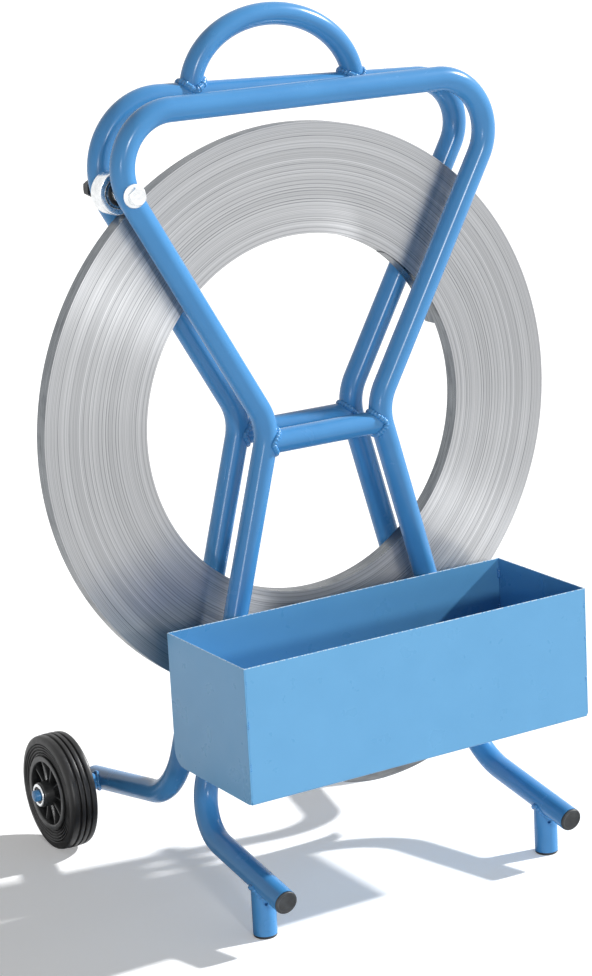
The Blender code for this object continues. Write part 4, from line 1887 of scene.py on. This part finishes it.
@dataclass
class StubAxle:
    """The rod welded through a back foot, with the shoulder that keeps the wheel clear of it."""

    back: BentFrame
    side: Side
    radius: float = AXLE_RADIUS
    dome: float = 1.8 * MM
    past_foot: float = 90.0 * MM
    bead_seeds: tuple[int, int] = (50, 60)

    def build(self, palette: Palette) -> None:
        """Make the domed rod, its shoulder and the beads on both sides of the foot.

        Args:
            palette: the machine's finishes.
        """
        node = f"stub_axle_{self.side.label}"
        half = extent(node).x / 2
        steps = 6
        profile: list[Point2] = []
        for step in range(steps + 1):
            angle = math.pi / 2 * step / steps
            height = half - self.dome * (1 - math.cos(angle))
            profile.append((self.radius * math.sin(angle), height))
        profile += [(self.radius, 0.4 * MM - half), (self.radius - 0.4 * MM, -half), (0.0, -half)]
        add_piece(
            f"{node}_enamelled",
            turned(profile, 40).placed(self.side.facing_out(node)),
            [palette.enamel],
            [node],
        )
        shoulder = f"axle_shoulder_{self.side.label}"
        size = extent(shoulder)
        outer, reach, bore = size.z / 2, size.x / 2, self.radius + CLEARANCE
        ring = [(outer, reach), (outer, -reach), (bore, -reach), (bore, reach)]
        add_piece(
            f"{shoulder}_enamelled",
            turned(rounded_ring(ring, 0.8 * MM), 48).placed(self.side.facing_out(shoulder)),
            [palette.enamel],
            [shoulder],
        )
        tube = self.back.tubing.radius
        beads = Shape()
        inward = Vector((-self.side.value, 0.0, 0.0))
        here, beyond = middle(shoulder), middle(shoulder) + inward * self.past_foot
        seams = ((here, inward, outer), (beyond, -inward, self.radius))
        for seed, (start, along, radius) in zip(self.bead_seeds, seams):
            bead = WeldBead(seed=seed + self.side.value, thickness=1.9 * MM, lump=0.35)
            beads.join(bead.round_branch(start, along, radius, self.back.path, tube))
        name = f"stub_axle_welds_{self.side.label}"
        add_piece(name, beads, [palette.enamel])


@dataclass
class StrapCoil:
    """The wound coil: turns that stand a little proud or shy of each other, and both strap ends."""

    bore_radius: float = 202.5 * MM
    thickness: float = STRAP_THICKNESS
    turns_per_band: tuple[int, int] = (2, 6)
    slip: float = 0.15 * MM
    steps: int = 240
    seed: int = 7
    end_angles: Point2 = (56.0, 24.0)
    end_fall: float = 9.5 * MM
    end_curl: float = 1.4
    end_steps: int = 24

    def winding(self, radius: float, half: float) -> tuple[list[Point2], list[int]]:
        """The coil's profile, with a step on each side where a group of turns has slipped.

        Args:
            radius: the coil's outside radius.
            half: half of the strap's width.

        Returns:
            The closed profile and each stretch's finish, 0 for strap edges and 1 for its face.
        """
        draw = random.Random(self.seed)
        front: list[Point2] = []
        back: list[Point2] = []
        inside = self.bore_radius
        drift = 0.0
        while inside < radius - 1e-6:
            turns = draw.randint(*self.turns_per_band)
            outside = min(radius, inside + turns * self.thickness)
            drift = 0.75 * drift + draw.uniform(-1.0, 1.0) * 0.5
            shy = self.slip * min(1.0, abs(drift) + draw.uniform(0.0, 0.25))
            for line, height in ((front, half - shy), (back, shy * 0.8 - half)):
                line += [(inside, height), (outside, height)]
            inside = outside
        profile = front + back[::-1]
        finishes = [0] * (len(front) - 1) + [1] + [0] * (len(back) - 1) + [1]
        return profile, finishes

    def build(self, palette: Palette) -> None:
        """Make the wound ring and the short end that has sprung from its bore.

        Args:
            palette: the machine's finishes.
        """
        size, centre = extent("strap_coil"), middle("strap_coil")
        profile, finishes = self.winding(size.x / 2, size.y / 2)
        add_piece(
            "strap_coil_wound",
            turned(profile, self.steps, finishes).placed(Matrix.Translation(centre) @ TO_FRONT),
            [palette.strap_edge, palette.strap_face],
            ["strap_coil"],
            body="coil",
            centre=centre,
        )
        path = []
        first, last = self.end_angles
        for step in range(self.end_steps + 1):
            share = step / self.end_steps
            angle = math.radians(first - (first - last) * share)
            reach = self.bore_radius - 0.4 * MM - self.end_fall * share**self.end_curl
            path.append(centre + Vector((reach * math.cos(angle), 0.0, reach * math.sin(angle))))
        add_piece(
            "strap_inner_end",
            ribbon(path, size.y - 1.0 * MM, self.thickness),
            [palette.strap_face],
            body="coil",
            centre=centre,
        )


@dataclass
class SlackStrap:
    """The slack end of the strap that has sprung away under the coil."""

    thickness: float = STRAP_THICKNESS
    per_span: int = 6

    def build(self, palette: Palette) -> None:
        """Lay a smooth strip along the line of the CAD's faceted one.

        Args:
            palette: the machine's finishes.
        """
        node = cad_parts["strap_tail"]
        low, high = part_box("strap_tail")
        ordered = sorted({(round(v.co.x, 6), round(v.co.z, 6)) for v in node.data.vertices})
        middles = [
            Vector(((a[0] + b[0]) / 2, (low.y + high.y) / 2, (a[1] + b[1]) / 2))
            for a, b in zip(ordered[::2], ordered[1::2])
        ]
        add_piece(
            "strap_tail_sprung",
            ribbon(curve_through(middles, self.per_span), high.y - low.y, self.thickness),
            [palette.strap_face],
            ["strap_tail"],
        )


# --------------------------------------------------------------------------------------------
# Studio
# --------------------------------------------------------------------------------------------


@dataclass(frozen=True)
class SoftLamp:
    """A lamp whose light falls alike everywhere, with shadows as soft as its spread is wide."""

    name: str
    towards: tuple[float, float, float]
    spread: float
    strength: float
    colour: str = "FFFFFF"
    distance: float = 3.0

    def build(self, target: Vector) -> None:
        """Hang the lamp in its direction from the target and aim it there.

        Args:
            target: what the lamp is aimed at.
        """
        data = bpy.data.lights.new(self.name, "SUN")
        data.angle = math.radians(self.spread)
        data.energy = self.strength * math.pi
        data.color = linear(self.colour)[:3]
        lamp = bpy.data.objects.new(self.name, data)
        away = Vector(self.towards).normalized()
        lamp.location = target + away * self.distance
        lamp.rotation_euler = away.to_track_quat("Z", "Y").to_euler()
        bpy.context.scene.collection.objects.link(lamp)


@dataclass
class Studio:
    """A pale floor in a white room, with one key lamp at the right and three weaker fills."""

    ambient: float = 0.15
    floor_colour: str = "F6F6F6"
    floor_lift: float = 0.25
    floor_size: float = 400.0
    lamps: tuple[SoftLamp, ...] = (
        SoftLamp("key", (1.45, -0.30, 1.0), 2.6, 1.65),
        SoftLamp("front_fill", (-0.17, -1.0, 0.26), 5.0, 0.25),
        SoftLamp("right_fill", (0.75, -1.0, 0.3), 60.0, 0.12),
        SoftLamp("side_fill", (-0.9, -1.0, 0.03), 8.0, 0.14),
    )

    def build_world(self) -> None:
        """White where the eye or a reflection meets it, and softer where it lights matt surfaces."""
        world = bpy.data.worlds.new("white_room")
        bpy.context.scene.world = world
        world.use_nodes = True
        tree = world.node_tree
        tree.nodes.clear()
        rays = add_node(tree, "ShaderNodeLightPath").outputs
        seen = rays["Is Camera Ray"]
        for kind in ("Is Glossy Ray", "Is Transmission Ray"):
            links = {0: seen, 1: rays[kind]}
            seen = add_node(tree, "ShaderNodeMath", {"operation": "MAXIMUM"}, links).outputs[0]
        strength = add_node(
            tree,
            "ShaderNodeMapRange",
            {"To Min": self.ambient, "To Max": 1.0},
            {"Value": seen},
        ).outputs[0]
        light = add_node(
            tree, "ShaderNodeBackground", {"Color": linear("FFFFFF")}, {"Strength": strength}
        )
        add_node(tree, "ShaderNodeOutputWorld", links={"Surface": light.outputs[0]})

    def build_floor(self) -> None:
        """A matt white floor that keeps the machine's shadow and is lifted to white for the eye."""
        half = self.floor_size / 2
        mesh = bpy.data.meshes.new("floor")
        corners = [(-half, -half, 0.0), (half, -half, 0.0), (half, half, 0.0), (-half, half, 0.0)]
        mesh.from_pydata(corners, [], [(0, 1, 2, 3)])
        floor = bpy.data.objects.new("floor", mesh)
        bpy.context.scene.collection.objects.link(floor)
        material = bpy.data.materials.new("floor_paint")
        material.use_nodes = True
        tree = material.node_tree
        tree.nodes.clear()
        rays = add_node(tree, "ShaderNodeLightPath").outputs
        matt = add_node(tree, "ShaderNodeBsdfDiffuse", {"Color": linear(self.floor_colour)})
        lift = add_node(tree, "ShaderNodeEmission", {"Strength": self.floor_lift})
        dark = add_node(tree, "ShaderNodeEmission", {"Strength": 0.0})
        chosen = add_node(
            tree,
            "ShaderNodeMixShader",
            links={0: rays["Is Camera Ray"], 1: dark.outputs[0], 2: lift.outputs[0]},
        )
        both = add_node(
            tree, "ShaderNodeAddShader", links={0: matt.outputs[0], 1: chosen.outputs[0]}
        )
        add_node(tree, "ShaderNodeOutputMaterial", links={"Surface": both.outputs[0]})
        mesh.materials.append(material)
        floor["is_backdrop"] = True

    def build(self, target: Vector) -> None:
        """Set up the room, the floor and the lamps round a target.

        Args:
            target: what the lamps are aimed at.
        """
        bpy.context.scene.view_settings.view_transform = "Standard"
        self.build_world()
        self.build_floor()
        for lamp in self.lamps:
            lamp.build(target)


@dataclass(frozen=True)
class Viewpoint:
    """Where the camera stands and how it is aimed."""

    location: tuple[float, float, float] = (-1.4890, -2.5171, 1.1735)
    heading: float = 30.67
    fall: float = 14.26
    roll: float = -3.07
    lens: float = 97.81
    sensor: float = 36.0
    sight: float = 1000.0

    def build(self) -> None:
        """Make the camera and hand it to the scene."""
        heading, fall, roll = (math.radians(v) for v in (self.heading, self.fall, self.roll))
        ahead = Vector(
            (
                math.sin(heading) * math.cos(fall),
                math.cos(heading) * math.cos(fall),
                -math.sin(fall),
            )
        )
        right = Vector((math.cos(heading), -math.sin(heading), 0.0))
        right = Quaternion(ahead, -roll) @ right
        up = right.cross(ahead)
        data = bpy.data.cameras.new("camera")
        data.lens = self.lens
        data.sensor_width = self.sensor
        data.clip_end = self.sight
        camera = bpy.data.objects.new("camera", data)
        turn = Matrix((right, up, -ahead)).transposed().to_4x4()
        camera.matrix_world = Matrix.Translation(self.location) @ turn
        bpy.context.scene.collection.objects.link(camera)
        bpy.context.scene.camera = camera


# --------------------------------------------------------------------------------------------
# The whole machine
# --------------------------------------------------------------------------------------------


def build_frames() -> tuple[BentFrame, BentFrame]:
    """Lay out the front and the back frame from the posts and the axles that they carry.

    Returns:
        The front frame and the back frame.
    """
    past_axle = 25.0 * MM
    post, bar = middle("foot_post_right"), middle("front_crossbar")
    front = BentFrame(-1, post.x - bar.x, 86.0 * MM, 182.0 * MM, EVEN_BENDS)
    axle, rear = middle("stub_axle_right"), middle("back_crossbar")
    reach = axle.y - rear.y
    height = axle.z + reach * math.tan(front.foot_fall)
    plug = middle("back_end_plug_right")
    back = BentFrame(1, plug.x - rear.x, height, reach + past_axle, ASKEW_BENDS)
    return front, back


def build_plugs(front: BentFrame, back: BentFrame, palette: Palette) -> None:
    """Close every open tube end.

    Args:
        front: the front frame.
        back: the back frame.
        palette: the machine's finishes.
    """
    for tube in (front, back):
        fall = tube.foot_fall
        axis = Vector((0.0, tube.depth_side * math.cos(fall), -math.sin(fall)))
        for side in Side:
            node = f"{tube.label}_end_plug_{side.label}"
            EndPlug(node, tube.foot_end(side.value), axis).build(palette)
    for side in Side:
        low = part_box(f"foot_post_{side.label}")[0]
        post = middle(f"foot_post_{side.label}")
        end = Vector((post.x, post.y, low.z))
        EndPlug(f"foot_pad_{side.label}", end, Vector((0.0, 0.0, -1.0))).build(palette)


def main() -> None:
    """Build the machine from the floor up, then the studio round it."""
    logging.basicConfig(level=logging.INFO, format="%(message)s")
    cad_low, cad_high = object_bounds()
    Viewpoint().build()
    palette = Palette(tray_rim=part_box("tray_body")[1].z)
    front, back = build_frames()
    front.build(palette)
    back.build(palette)
    CarryingHandle(back).build(palette)
    for side in Side:
        FrontFoot(front, side).build(palette)
    build_plugs(front, back, palette)
    ToolTray().build(palette)
    for name in ROLLERS:
        RollerStation(name).build(palette)
    for side in Side:
        StubAxle(back, side).build(palette)
        TransportWheel(side).build(palette)
    StrapCoil().build(palette)
    SlackStrap().build(palette)
    Studio().build((cad_low + cad_high) / 2)


if __name__ == "__main__":
    main()
